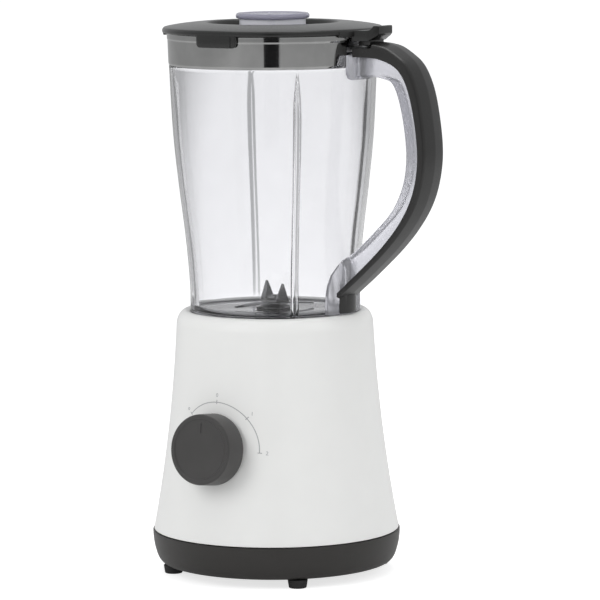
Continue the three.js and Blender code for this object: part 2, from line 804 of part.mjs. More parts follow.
/** Two opposite arms with bent, pointed tips, joined at a pierced hub. */
function bladePair(hubBottom, width, thickness, reach, bendAt, tipRise) {
  const hub = tube(6.5, 3.3, hubBottom, hubBottom + thickness);
  const tipLength = Math.hypot(reach - bendAt, tipRise);
  const tipAngle = Math.atan2(tipRise, reach - bendAt);
  const arms = [0, Math.PI].map((turn) => {
    const root = block([5.2, -width / 2, hubBottom], [bendAt, width / 2, hubBottom + thickness]);
    const tip = plate([
      [-0.4, -width / 2],
      [tipLength * 0.35, -width / 2],
      [tipLength, -width * 0.08],
      [tipLength, width * 0.08],
      [tipLength * 0.35, width / 2],
      [-0.4, width / 2],
    ], 0, thickness);
    tip.rotateY(-tipAngle).translate(bendAt, 0, hubBottom);
    return join(root, tip).rotateZ(turn);
  });
  return cut(join(hub, ...arms), rod(3.3, hubBottom - 5, hubBottom + 20));
}

function bladeUnit(blender) {
  const bore = bladeShaftRadius + runningGap;
  const floorUnderside = jarFloor - 3;
  const bladeHousing = turned([
    [bore, 170.4],
    [8.9, 170.4],
    [8.9, 179.9],
    [13, 179.9],
    [13, 180.8],
    [11.6, 181.6],
    [6.4, 182],
    [bore, 182],
  ]);
  piece(blender, 'blade_housing', bladeHousing, 'bladeSteel');
  piece(blender, 'blade_gasket', tube(12.6, 9.3, jarFloor + fitGap, 179.6), 'rubber');
  piece(blender, 'blade_ring_nut', nut(15.5, 9.2, 171, floorUnderside - fitGap, 8), 'blackPlastic');

  const shaft = turned([
    [0, 162],
    [3.2, 162],
    [3.2, 170.1],
    [bladeShaftRadius, 170.1],
    [bladeShaftRadius, 182.1],
    [3, 182.1],
    [3, 188],
    [0, 188],
  ]);
  piece(blender, 'blade_shaft', shaft, 'bladeSteel');
  const lower = bladePair(182.4, 11, 1.4, 29, 14, -1).rotateZ(upBladeAngle + Math.PI / 2);
  piece(blender, 'blade_pair_lower', lower, 'bladeSteel');
  const upper = bladePair(184.1, 11, 1.4, 16, 11, 12).rotateZ(upBladeAngle);
  piece(blender, 'blade_pair_upper', upper, 'bladeSteel');
  piece(blender, 'blade_nut', nut(5.4, 3.3, 185.8, 189.4, 6), 'bladeSteel');
  const driven = dogCoupling(166, 169.8, 160.6, 166.5, 3.5, Math.PI / 4);
  piece(blender, 'driven_coupling', driven, 'blackPlastic');
}

// ---------------------------------------------------------------- lid and measuring cap

function lid() {
  const flangeBottom = jarRim + 0.4;
  const plugBottom = 350.6;
  const shell = turned([
    [64.5, flangeBottom],
    [lidRadius - 0.6, flangeBottom],
    [lidRadius, flangeBottom + 0.7],
    [lidRadius, 368.4],
    [lidRadius - 0.5, 369.4],
    [lidRadius - 2.2, 370.4],
    [64, 371.8],
    [54, 372.9],
    [47, 373.2],
    [lidRecess, 372.8],
    [43.2, 371.4],
    [41.8, 367.2],
    [40.4, 366.2],
    [capHole, 366.2],
    [capHole, 357],
    [capHole + 2.2, 357],
    [capHole + 2.2, 363.8],
    [42.4, 363.8],
    [45.8, 370.4],
    [61.6, 368.8],
    [61.6, plugBottom],
    [64.5, plugBottom],
    [64.5, 354],
    [62.9, 354],
    [62.9, 358.4],
    [64.5, 358.4],
  ], roundSegments);
  const hookTop = flangeBottom + 1;
  const hookInner = bandRadius + bandFlare + 0.6;
  const places = [[-87.5, 24, 359], [90, 24, 359], [180, 56, 361.5], [-15, 9.5, 364.8], [15, 9.5, 364.8]];
  const hooks = places.map(([middle, span, bottom]) => sector(
    hookInner,
    lidRadius,
    THREE.MathUtils.degToRad(middle),
    THREE.MathUtils.degToRad(span),
    bottom,
    hookTop,
  ));
  const tabSide = slab([
    [72.6, 364.9],
    [82, 364.9],
    [86.6, 366.6],
    [87.8, 368.4],
    [88, 372.6],
    [87.2, 373.4],
    [84.4, 373.2],
    [82.6, 370.6],
    [80, 370],
    [72.6, 370],
  ], 30);
  const tabPlan = plate([[72, -13.2], [81, -11.2], [90, -7.8], [90, 7.8], [81, 11.2], [72, 13.2]], 350, 380);
  const tabRib = block([73.6, -11, tabRecessFloor + 1.3], [85.6, 11, 367]);
  return join(shell, ...hooks, common(tabSide, tabPlan), tabRib);
}

function measuringCap() {
  const wall = 2;
  return turned([
    [0, capTop - 1 - wall],
    [20.4, capTop - 1 - wall],
    [19, 347],
    [21, 347],
    [22.6, 366.4],
    [24.6, 366.6],
    [24.6, 369],
    [22.4, 369.6],
    [22.4, 375.6],
    [24.2, 375.8],
    [capFlange, 376.8],
    [capFlange, 378.6],
    [capFlange - 0.8, capTop],
    [capFlange - 2, capTop],
    [capFlange - 3, capTop - 1],
    [0, capTop - 1],
  ], roundSegments);
}

function lidAndCap(blender) {
  piece(blender, 'lid', lid(), 'lidPlastic');
  const seal = turned([
    [63.2, 354.3],
    [65, 354.3],
    [66.4, 356.2],
    [65, 358.1],
    [63.2, 358.1],
  ], roundSegments);
  piece(blender, 'lid_seal', seal, 'paleRubber');
  piece(blender, 'measuring_cap', measuringCap(), 'capPlastic');
}

// ---------------------------------------------------------------- the whole blender

const blender = new THREE.Group();
motorBase(blender);
knobAndSwitch(blender);
motor(blender);
jarAndHandle(blender);
bladeUnit(blender);
lidAndCap(blender);

const outerBox = new THREE.Box3().setFromObject(blender, true);
const middle = outerBox.getCenter(new THREE.Vector3());
blender.position.set(-middle.x, -middle.y, -outerBox.min.z);

export default blender;
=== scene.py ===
"""Looks of a countertop blender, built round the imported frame.

Profiles and outlines are in millimetres from the axis of the motor and the jar: helpers turn them into
metres in the frame of the CAD model. The knob faces -Y and the handle points to +X.
"""
import json
import math

import bmesh
import bpy
from mathutils import Matrix, Vector


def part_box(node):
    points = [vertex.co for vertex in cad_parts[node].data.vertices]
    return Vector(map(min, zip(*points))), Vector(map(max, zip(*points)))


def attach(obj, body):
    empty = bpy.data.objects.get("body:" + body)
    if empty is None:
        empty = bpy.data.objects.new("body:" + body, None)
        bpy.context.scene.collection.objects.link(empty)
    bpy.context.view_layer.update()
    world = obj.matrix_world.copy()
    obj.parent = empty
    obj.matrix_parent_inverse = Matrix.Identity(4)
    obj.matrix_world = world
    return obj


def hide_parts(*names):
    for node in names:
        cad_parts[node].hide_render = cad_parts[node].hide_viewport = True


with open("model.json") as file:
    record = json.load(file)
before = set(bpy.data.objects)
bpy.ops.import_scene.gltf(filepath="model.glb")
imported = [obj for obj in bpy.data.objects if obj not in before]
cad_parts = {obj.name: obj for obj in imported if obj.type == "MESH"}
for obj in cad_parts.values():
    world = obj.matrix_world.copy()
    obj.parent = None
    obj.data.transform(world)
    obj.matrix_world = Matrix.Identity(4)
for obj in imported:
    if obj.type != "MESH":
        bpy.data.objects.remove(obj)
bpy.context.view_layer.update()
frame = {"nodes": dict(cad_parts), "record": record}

MM = 0.001
TAU = 2 * math.pi

# ------------------------------------------------------------------ places, taken from the frame

_shaft_low, _shaft_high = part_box("motor_shaft")
AXIS = Vector(((_shaft_low.x + _shaft_high.x) / 2, (_shaft_low.y + _shaft_high.y) / 2, 0.0))


def low(node):
    """Lowest corner of a CAD node, in millimetres from the axis."""
    return (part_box(node)[0] - AXIS) / MM


def high(node):
    """Highest corner of a CAD node, in millimetres from the axis."""
    return (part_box(node)[1] - AXIS) / MM


def joint(name):
    return next(j for j in frame["record"]["behaviour"]["joints"] if j["name"] == name)


COVER_BOTTOM = low("base_cover").z
SEAM = 29.2  # bottom edge of the housing's wall
HOUSING_TOP = high("housing").z
HOUSING_RADIUS = high("housing").x  # at the seam
COVER_RADIUS = high("base_cover").x
DECK = low("jar").z - 0.3
JAR_RIM = high("jar").z
BAND_BOTTOM = low("steel_band").z
BAND_RADIUS = high("steel_band").y
LID_RADIUS = high("lid").y
CAP_TOP = high("measuring_cap").z
CAP_RADIUS = high("measuring_cap").x
KNOB_RADIUS = high("speed_knob").x
KNOB_TURN = joint("knob_turn")
KNOB_CENTRE = (Vector(KNOB_TURN["pos_m"]) - AXIS) / MM
KNOB_OUT = -Vector(KNOB_TURN["axis"]).normalized()

SHOULDER = 168.0  # height where the housing starts to round in
HOUSING_NECK = 66.9
HOUSING_TAPER = 0.05
HOUSING_FLARE = 0.0005
HOUSING_WALL = 2.6
SOCKET_RADIUS = 57.2
JAR_FLOOR = 178.5
JAR_WALL = 2.6
GRIP_HALF = 13.0
CORE_HALF = 9.5
CORE_DEPTH = 11.5

# Outer side of the jar above the deck, as (radius, height)
JAR_SIDE = [(57.2, 178), (57.6, 198), (60.2, 229), (64.6, 266), (67.9, 300), (70.1, 344.3)]
# Line where the grip's edge meets the clear core, from the band round to the jar's foot
GRIP_EDGE = [
    (68, 351.6), (92, 350.4), (108.5, 341.5), (117.6, 318),
    (121.2, 283), (113.8, 254), (93.8, 226.8), (57, 193),
]

# ------------------------------------------------------------------ outlines and curves


def spline(points, t):
    """Point at t from 0 to 1 on a smooth curve through the points."""
    place = t * (len(points) - 1)
    i = min(int(place), len(points) - 2)
    w = place - i
    p0, p1 = points[max(i - 1, 0)], points[i]
    p2, p3 = points[i + 1], points[min(i + 2, len(points) - 1)]

    def blend(a, b, c, d):
        v0, v1 = (c - a) / 2, (d - b) / 2
        return (2 * b - 2 * c + v0 + v1) * w ** 3 + (-3 * b + 3 * c - 2 * v0 - v1) * w ** 2 + v0 * w + b

    return tuple(blend(*axis) for axis in zip(p0, p1, p2, p3))


def spline_points(points, count):
    return [spline(points, i / count) for i in range(count + 1)]


def side_step(points, t, distance):
    """Point of the curve moved to the left of its direction."""
    ahead, behind = spline(points, min(t + 0.002, 1)), spline(points, max(t - 0.002, 0))
    along = Vector((ahead[0] - behind[0], ahead[1] - behind[1])).normalized()
    here = spline(points, t)
    return here[0] - along.y * distance, here[1] + along.x * distance


def mix(a, b, w):
    return a + (b - a) * w


def smooth(x, start, end):
    """0 before start, 1 after end, eased between them."""
    w = max(0.0, min(1.0, (x - start) / (end - start)))
    return w * w * (3 - 2 * w)


def from_table(table, x):
    """Eased value at x from (x, value) pairs in rising x."""
    for (x0, v0), (x1, v1) in zip(table, table[1:]):
        if x <= x1:
            return mix(v0, v1, smooth(x, x0, x1))
    return table[-1][1]


def rounded(corners, steps=5, closed=True):
    """Outline from (x, y) or (x, y, radius) corners, each radius as an eased arc."""
    count = len(corners)
    outline = []
    for i, corner in enumerate(corners):
        here = Vector(corner[:2])
        radius = corner[2] if len(corner) > 2 else 0
        if radius == 0 or (not closed and i in (0, count - 1)):
            outline.append(tuple(here))
            continue
        back = Vector(corners[i - 1][:2]) - here
        forth = Vector(corners[(i + 1) % count][:2]) - here
        half = back.angle(forth) / 2
        reach = min(radius / math.tan(half), back.length * 0.49, forth.length * 0.49)
        start, end = here + back.normalized() * reach, here + forth.normalized() * reach
        for k in range(steps + 1):
            w = k / steps
            outline.append(tuple(start * (1 - w) ** 2 + here * 2 * w * (1 - w) + end * w * w))
    return outline


# ------------------------------------------------------------------ meshes


def make(name, verts, faces, sharp=35):
    """Object from vertices in millimetres from the axis; edges bent past `sharp` degrees stay crisp."""
    mesh = bpy.data.meshes.new(name)
    mesh.from_pydata([(AXIS.x + x * MM, AXIS.y + y * MM, z * MM) for x, y, z in verts], [], faces)
    thing = bpy.data.objects.new(name, mesh)
    bpy.context.scene.collection.objects.link(thing)
    tidy(thing, sharp)
    return thing


def tidy(thing, sharp=35):
    """Joins doubled points, turns faces outward and sets which edges are crisp."""
    form = bmesh.new()
    form.from_mesh(thing.data)
    bmesh.ops.remove_doubles(form, verts=form.verts, dist=1e-7)
    bmesh.ops.dissolve_degenerate(form, edges=form.edges, dist=1e-7)
    bmesh.ops.recalc_face_normals(form, faces=form.faces)
    for face in form.faces:
        face.smooth = True
    for edge in form.edges:
        edge.smooth = edge.calc_face_angle(math.pi) < math.radians(sharp)
    form.to_mesh(thing.data)
    form.free()


def bake_modifiers(thing):
    """The object's mesh as its modifiers make it, with none left on it."""
    graph = bpy.context.evaluated_depsgraph_get()
    done = bpy.data.meshes.new_from_object(thing.evaluated_get(graph), depsgraph=graph)
    thing.modifiers.clear()
    thing.data = done


def combine(thing, tool, how, sharp=35):
    """Joins (UNION), cuts (DIFFERENCE) or keeps what is shared (INTERSECT), and removes the tool."""
    step = thing.modifiers.new(how, "BOOLEAN")
    step.operation = how
    step.solver = "EXACT"
    step.object = tool
    bake_modifiers(thing)
    bpy.data.objects.remove(tool)
    tidy(thing, sharp)
    return thing


def soften(thing, width, segments=3, angle=40, sharp=35):
    """Rounds every edge bent past `angle` degrees by `width` millimetres."""
    step = thing.modifiers.new("soften", "BEVEL")
    step.width = width * MM
    step.segments = segments
    step.limit_method = "ANGLE"
    step.angle_limit = math.radians(angle)
    step.use_clamp_overlap = True
    bake_modifiers(thing)
    tidy(thing, sharp)
    return thing


def revolve(name, outline, angles=144, shape=None, sharp=35):
    """Solid of revolution about the axis. The outline closes on itself, or starts and ends on the axis.
    shape(radius, height, angle, index) may move each point."""
    if isinstance(angles, int):
        angles = [TAU * i / angles for i in range(angles)]
    verts, rings = [], []
    for index, (radius, height) in enumerate(outline):
        if radius < 1e-6:
            rings.append([len(verts)])
            verts.append((0, 0, height))
            continue
        ring = []
        for angle in angles:
            r, z = shape(radius, height, angle, index) if shape else (radius, height)
            ring.append(len(verts))
            verts.append((r * math.cos(angle), r * math.sin(angle), z))
        rings.append(ring)
    pairs = list(zip(rings, rings[1:]))
    if outline[0][0] > 1e-6:
        pairs.append((rings[-1], rings[0]))
    faces = []
    count = len(angles)
    for a, b in pairs:
        for i in range(count):
            j = (i + 1) % count
            corners = [a[i % len(a)], a[j % len(a)], b[j % len(b)], b[i % len(b)]]
            faces.append(list(dict.fromkeys(corners)))
    return make(name, verts, [f for f in faces if len(f) > 2], sharp)


def loft(name, sections, sharp=35, ring=False):
    """Skin over sections with the same number of points each; the two end sections are capped."""
    verts = [point for section in sections for point in section]
    width = len(sections[0])
    faces = []
    last = len(sections) if ring else len(sections) - 1
    for s in range(last):
        for i in range(width):
            j = (i + 1) % width
            a, b = s * width, ((s + 1) % len(sections)) * width
            faces.append((a + i, a + j, b + j, b + i))
    if not ring:
        faces.append(tuple(range(width)))
        faces.append(tuple((len(sections) - 1) * width + i for i in range(width)))
    return make(name, verts, faces, sharp)


def slab(name, outline, half, sharp=35):
    """Outline of (x, z) points made into a slab from y = -half to half."""
    return loft(name, [[(x, -half, z) for x, z in outline], [(x, half, z) for x, z in outline]], sharp)


def plate(name, outline, bottom, top, sharp=35):
    """Outline of (x, y) points made into a plate."""
    return loft(name, [[(x, y, bottom) for x, y in outline], [(x, y, top) for x, y in outline]], sharp)


def block(name, corner, other, sharp=35):
    (x0, y0, z0), (x1, y1, z1) = corner, other
    return plate(name, [(x0, y0), (x1, y0), (x1, y1), (x0, y1)], z0, z1, sharp)


def turn(thing, matrix):
    """Applies a matrix in millimetres from the axis to a mesh."""
    to_mm = Matrix.Scale(1 / MM, 4) @ Matrix.Translation(-AXIS)
    thing.data.transform(to_mm.inverted() @ matrix @ to_mm)
    return thing


def spun(thing, degrees):
    return turn(thing, Matrix.Rotation(math.radians(degrees), 4, "Z"))


def bundle(name, things):
    """Several objects as one mesh; the first keeps its place."""
    form = bmesh.new()
    for thing in things:
        form.from_mesh(thing.data)
    mesh = bpy.data.meshes.new(name)
    form.to_mesh(mesh)
    form.free()
    for thing in things:
        bpy.data.objects.remove(thing)
    joined = bpy.data.objects.new(name, mesh)
    bpy.context.scene.collection.objects.link(joined)
    return joined


# ------------------------------------------------------------------ materials


def shader(name):
    """New material; returns it with its node tree and Principled node."""
    material = bpy.data.materials.new(name)
    material.use_nodes = True
    return material, material.node_tree, material.node_tree.nodes["Principled BSDF"]


def noise(tree, scale, detail=4.0, rough=0.55, stretch=(1, 1, 1)):
    """Noise in the object's own coordinates, in waves per metre."""
    place = tree.nodes.new("ShaderNodeTexCoord")
    shift = tree.nodes.new("ShaderNodeMapping")
    shift.inputs["Scale"].default_value = stretch
    grain = tree.nodes.new("ShaderNodeTexNoise")
    grain.inputs["Scale"].default_value = scale
    grain.inputs["Detail"].default_value = detail
    grain.inputs["Roughness"].default_value = rough
    tree.links.new(place.outputs["Object"], shift.inputs["Vector"])
    tree.links.new(shift.outputs["Vector"], grain.inputs["Vector"])
    return grain.outputs["Fac"]


def spread(tree, value, start, end, out_low, out_high):
    """Maps a value from one range to another, clamped."""
    node = tree.nodes.new("ShaderNodeMapRange")
    node.inputs["From Min"].default_value = start
    node.inputs["From Max"].default_value = end
    node.inputs["To Min"].default_value = out_low
    node.inputs["To Max"].default_value = out_high
    tree.links.new(value, node.inputs["Value"])
    return node.outputs["Result"]


def tint(tree, value, first, second):
    """Colour between two, by a value from 0 to 1."""
    node = tree.nodes.new("ShaderNodeMix")
    node.data_type = "RGBA"
    node.inputs["A"].default_value = (*first, 1)
    node.inputs["B"].default_value = (*second, 1)
    tree.links.new(value, node.inputs["Factor"])
    return node.outputs["Result"]


def bump(tree, value, strength, depth):
    """Relief from a value; depth is in metres."""
    node = tree.nodes.new("ShaderNodeBump")
    node.inputs["Strength"].default_value = strength
    node.inputs["Distance"].default_value = depth
    tree.links.new(value, node.inputs["Height"])
    return node.outputs["Normal"]


def moulded(name, colour, roughness, grain=2600, relief=0.00002, shade=0.06, coat=0.0, mottle=45):
    """Injection-moulded plastic: fine grain in the relief, faint unevenness in colour and gloss."""
    material, tree, main = shader(name)
    broad = noise(tree, mottle, 3)
    fine = noise(tree, grain, 2)
    darker = tuple(c * (1 - shade) for c in colour)
    lighter = tuple(min(1.0, c * (1 + shade)) for c in colour)
    patches = spread(tree, broad, 0.3, 0.7, 0, 1)
    tree.links.new(tint(tree, patches, darker, lighter), main.inputs["Base Color"])
    tree.links.new(
        spread(tree, fine, 0.25, 0.75, roughness - 0.05, roughness + 0.05), main.inputs["Roughness"])
    tree.links.new(bump(tree, fine, 0.5, relief), main.inputs["Normal"])
    main.inputs["Coat Weight"].default_value = coat
    main.inputs["Coat Roughness"].default_value = 0.12
    return material


def metal(name, colour, roughness, stretch=(1, 1, 1), grain=900, relief=0.00001, spread_by=0.05):
    """Metal with a fine grain, drawn out along one direction where it was brushed or turned."""
    material, tree, main = shader(name)
    fine = noise(tree, grain, 3, stretch=stretch)
    broad = noise(tree, 60, 2)
    darker = tuple(c * 0.88 for c in colour)
    patches = spread(tree, broad, 0.3, 0.7, 0, 1)
    tree.links.new(tint(tree, patches, darker, colour), main.inputs["Base Color"])
    tree.links.new(
        spread(tree, fine, 0.25, 0.75, max(0.02, roughness - spread_by), roughness + spread_by),
        main.inputs["Roughness"])
    tree.links.new(bump(tree, fine, 0.4, relief), main.inputs["Normal"])
    main.inputs["Metallic"].default_value = 1.0
    return material


def clear(name, colour, roughness, transmission=1.0, ior=1.49, relief=0.0, mottle=70):
    """Clear or translucent plastic with a faint tint and moulding ripple."""
    material, tree, main = shader(name)
    broad = noise(tree, mottle, 2)
    darker = tuple(c * 0.985 for c in colour)
    patches = spread(tree, broad, 0.3, 0.7, 0, 1)
    tree.links.new(tint(tree, patches, darker, colour), main.inputs["Base Color"])
    tree.links.new(
        spread(tree, broad, 0.3, 0.7, roughness, roughness + 0.03), main.inputs["Roughness"])
    if relief:
        tree.links.new(bump(tree, broad, 0.3, relief), main.inputs["Normal"])
    main.inputs["Transmission Weight"].default_value = transmission
    main.inputs["IOR"].default_value = ior
    return material


MATERIALS = {
    "white_plastic": moulded("white_plastic", (0.86, 0.86, 0.845), 0.34, shade=0.008, coat=0.3),
    "base_grey_plastic": moulded("base_grey_plastic", (0.024, 0.022, 0.020), 0.42, relief=0.00004),
    "grip_plastic": moulded("grip_plastic", (0.013, 0.0125, 0.012), 0.36, relief=0.00003, coat=0.1),
    "knob_plastic": moulded("knob_plastic", (0.05, 0.048, 0.047), 0.42, relief=0.00003),
    "lid_plastic": moulded("lid_plastic", (0.009, 0.009, 0.0085), 0.3, relief=0.00002, coat=0.2),
    "black_plastic": moulded("black_plastic", (0.018, 0.018, 0.019), 0.45),
    "black_rubber": moulded("black_rubber", (0.02, 0.02, 0.02), 0.75, grain=1800, relief=0.00005),
    "pale_rubber": moulded("pale_rubber", (0.55, 0.55, 0.53), 0.6, grain=1800, relief=0.00004),
    "carbon": moulded("carbon", (0.015, 0.015, 0.016), 0.7, grain=1500, relief=0.00004),
    "print_grey": moulded("print_grey", (0.42, 0.42, 0.43), 0.5, relief=0.0),
    "clear_plastic": clear("clear_plastic", (0.895, 0.895, 0.908), 0.02, ior=1.45),
    "clear_handle": clear("clear_handle", (0.80, 0.80, 0.85), 0.22, transmission=0.72, ior=1.25),
    "cap_plastic": clear("cap_plastic", (0.60, 0.59, 0.71), 0.14, transmission=0.6),
    "cap_neck": clear("cap_neck", (0.92, 0.92, 0.97), 0.2, transmission=0.12),
    "band_steel": metal("band_steel", (0.42, 0.42, 0.415), 0.07, stretch=(1, 1, 0.02), relief=0.000003),
    "blade_steel": metal("blade_steel", (0.40, 0.40, 0.385), 0.2, stretch=(1, 0.05, 1)),
    "zinc_steel": metal("zinc_steel", (0.52, 0.53, 0.55), 0.38),
    "laminated_steel": metal("laminated_steel", (0.22, 0.23, 0.25), 0.5, stretch=(0.05, 0.05, 3)),
    "copper_wire": metal("copper_wire", (0.62, 0.26, 0.12), 0.35, stretch=(1, 1, 0.1), relief=0.00008),
    "brass": metal("brass", (0.62, 0.46, 0.2), 0.3, stretch=(0.1, 0.1, 1)),
}


def finish(thing, slot, body, *nodes, material=None, keep_materials=False):
    """Gives a new piece its material, picked by `material` or else by `slot`, hangs it on its body and
    hides the CAD nodes that it stands for.
    """
    if not keep_materials:
        thing.data.materials.clear()
        thing.data.materials.append(MATERIALS[material or slot])
        for face in thing.data.polygons:
            face.material_index = 0
    if nodes:
        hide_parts(*nodes)
    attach(thing, body)
    return thing


# ------------------------------------------------------------------ camera, light and floor

CAMERA_AZIMUTH = math.radians(33.5)
CAMERA_PITCH = math.radians(6.85)
CAMERA_ROLL = -0.007
CAMERA_AWAY = 2627.0
CAMERA_HEIGHT = 500.0
CAMERA_ASIDE = 17.1
FOCAL_LENGTH = 234.0  # on a 36 mm sensor
SIDE_LIGHT = 0.5  # the same seen through clear plastic
ROOM_LIGHT = 0.58  # what the walls of the studio give off, against a white backdrop of 1


def larger(tree, first, second):
    """Larger of two values."""
    node = tree.nodes.new("ShaderNodeMath")
    node.operation = "MAXIMUM"
    tree.links.new(first, node.inputs[0])
    tree.links.new(second, node.inputs[1])
    return node.outputs["Value"]


def along(tree, place, direction):
    """How far a place or a direction reaches along another."""
    node = tree.nodes.new("ShaderNodeVectorMath")
    node.operation = "DOT_PRODUCT"
    node.inputs[1].default_value = direction
    tree.links.new(place, node.inputs[0])
    return node.outputs["Value"]


def glow(tree, colour, strength):
    node = tree.nodes.new("ShaderNodeBackground")
    node.inputs["Color"].default_value = (*colour, 1)
    node.inputs["Strength"].default_value = strength
    return node.outputs["Background"]


def either(tree, factor, first, second):
    """First shader at 0, second at 1."""
    node = tree.nodes.new("ShaderNodeMixShader")
    tree.links.new(factor, node.inputs["Fac"])
    tree.links.new(first, node.inputs[1])
    tree.links.new(second, node.inputs[2])
    return node.outputs["Shader"]


def studio_world(away):
    """White backdrop, with greyer walls beside it for rays that clear plastic bends and for reflections."""
    world = bpy.data.worlds.new("studio")
    world.use_nodes = True
    sky = world.node_tree
    ray = sky.nodes.new("ShaderNodeLightPath")
    place = sky.nodes.new("ShaderNodeTexCoord")
    behind = spread(sky, along(sky, place.outputs["Generated"], away), 0.86, 0.985, 0, 1)
    backdrop = glow(sky, (1, 1, 1), 1.02)
    beside = glow(sky, (0.93, 0.93, 1.0), SIDE_LIGHT)
    room = glow(sky, (0.98, 0.99, 1.0), ROOM_LIGHT)
    seen = either(sky, larger(sky, ray.outputs["Is Camera Ray"], behind), beside, backdrop)
    direct = larger(sky, ray.outputs["Is Camera Ray"], ray.outputs["Is Transmission Ray"])
    sky.links.new(either(sky, direct, room, seen), sky.nodes["World Output"].inputs["Surface"])
    bpy.context.scene.world = world


def only_in_reflections(thing):
    thing.visible_camera = False
    thing.visible_diffuse = False
    thing.visible_transmission = False
    thing.visible_shadow = False


def dark_card(name, degrees, half, low_edge, high_edge):
    """Card that gives the steel something dark to mirror, upright at an angle round the axis."""
    distance = 1.2
    outward = Vector((math.cos(math.radians(degrees)), math.sin(math.radians(degrees)), 0))
    across = Vector((-outward.y, outward.x, 0))
    corners = [AXIS + outward * distance + across * u + Vector((0, 0, v)) for u, v in (
        (-half, low_edge), (half, low_edge), (half, high_edge), (-half, high_edge))]
    mesh = bpy.data.meshes.new(name)
    mesh.from_pydata([tuple(c) for c in corners], [], [(0, 1, 2, 3)])
    card = bpy.data.objects.new(name, mesh)
    bpy.context.scene.collection.objects.link(card)
    mesh.materials.append(moulded(name, (0.012, 0.012, 0.013), 0.9, relief=0.0))
    only_in_reflections(card)


def studio():
    right = Vector((math.cos(CAMERA_AZIMUTH), math.sin(CAMERA_AZIMUTH), 0))
    away = Vector((-math.sin(CAMERA_AZIMUTH), math.cos(CAMERA_AZIMUTH), 0))
    lens = bpy.data.cameras.new("camera")
    lens.lens = FOCAL_LENGTH
    lens.sensor_width = 36.0
    lens.clip_end = 100.0
    camera = bpy.data.objects.new("camera", lens)
    bpy.context.scene.collection.objects.link(camera)
    place = AXIS + (right * CAMERA_ASIDE - away * CAMERA_AWAY + Vector((0, 0, CAMERA_HEIGHT))) * MM
    aim = Matrix.Rotation(CAMERA_AZIMUTH, 4, "Z") @ Matrix.Rotation(math.pi / 2 - CAMERA_PITCH, 4, "X")
    camera.matrix_world = Matrix.Translation(place) @ aim @ Matrix.Rotation(CAMERA_ROLL, 4, "Z")
    bpy.context.scene.camera = camera

    studio_world(away)
    bpy.context.scene.view_settings.view_transform = "Standard"

    floor_mesh = bpy.data.meshes.new("floor")
    reach = 16.0
    corners = [(-reach, -reach, 0), (reach, -reach, 0), (reach, reach, 0), (-reach, reach, 0)]
    floor_mesh.from_pydata(corners, [], [(0, 1, 2, 3)])
    floor = bpy.data.objects.new("floor", floor_mesh)
    bpy.context.scene.collection.objects.link(floor)
    material, tree, main = shader("floor")
    paper = noise(tree, 30, 2)
    tree.links.new(
        tint(tree, spread(tree, paper, 0.3, 0.7, 0, 1), (0.60, 0.60, 0.60), (0.61, 0.61, 0.61)),
        main.inputs["Base Color"])
    main.inputs["Roughness"].default_value = 0.9
    main.inputs["Specular IOR Level"].default_value = 0.1
    main.inputs["Emission Color"].default_value = (1, 1, 1, 1)
    ray = tree.nodes.new("ShaderNodeLightPath")
    place = tree.nodes.new("ShaderNodeTexCoord")
    aside = along(tree, place.outputs["Object"], right)
    left_end = spread(tree, aside, -0.75, -0.25, 0, 1)
    right_end = spread(tree, aside, 0.25, 0.75, 1, 0)
    middle = tree.nodes.new("ShaderNodeMath")
    middle.operation = "MULTIPLY"
    tree.links.new(left_end, middle.inputs[0])
    tree.links.new(right_end, middle.inputs[1])
    through = tree.nodes.new("ShaderNodeMath")
    through.operation = "MULTIPLY"
    tree.links.new(middle.outputs["Value"], through.inputs[0])
    tree.links.new(ray.outputs["Is Transmission Ray"], through.inputs[1])
    seen = larger(tree, ray.outputs["Is Camera Ray"], through.outputs["Value"])
    tree.links.new(spread(tree, seen, 0, 1, 0.12, 0.72), main.inputs["Emission Strength"])
    floor_mesh.materials.append(material)
    dark_card("card_front", math.degrees(CAMERA_AZIMUTH) - 91, 0.17, 0.0, 1.0)

    def soft_box(name, side, ahead, height, size, power, mirrored):
        light = bpy.data.lights.new(name, "AREA")
        light.shape = "RECTANGLE"
        light.size, light.size_y = size
        light.energy = power
        lamp = bpy.data.objects.new(name, light)
        bpy.context.scene.collection.objects.link(lamp)
        spot = AXIS + right * side - away * ahead + Vector((0, 0, height))
        target = AXIS + Vector((0, 0, 0.2))
        facing = (target - spot).to_track_quat("-Z", "Y").to_matrix().to_4x4()
        lamp.matrix_world = Matrix.Translation(spot) @ facing
        lamp.visible_glossy = mirrored
        lamp.visible_transmission = False

    soft_box("key", -1.5, 1.3, 1.3, (0.9, 1.5), 17, False)
    soft_box("fill", 1.7, 0.9, 1.1, (0.8, 1.5), 11, False)
    soft_box("top", 0.1, -0.3, 2.2, (1.6, 1.2), 15, True)


# ------------------------------------------------------------------ motor base


def housing_radius(height):
    below = max(0.0, SHOULDER - height)
    return HOUSING_NECK + HOUSING_TAPER * below + HOUSING_FLARE * below ** 2


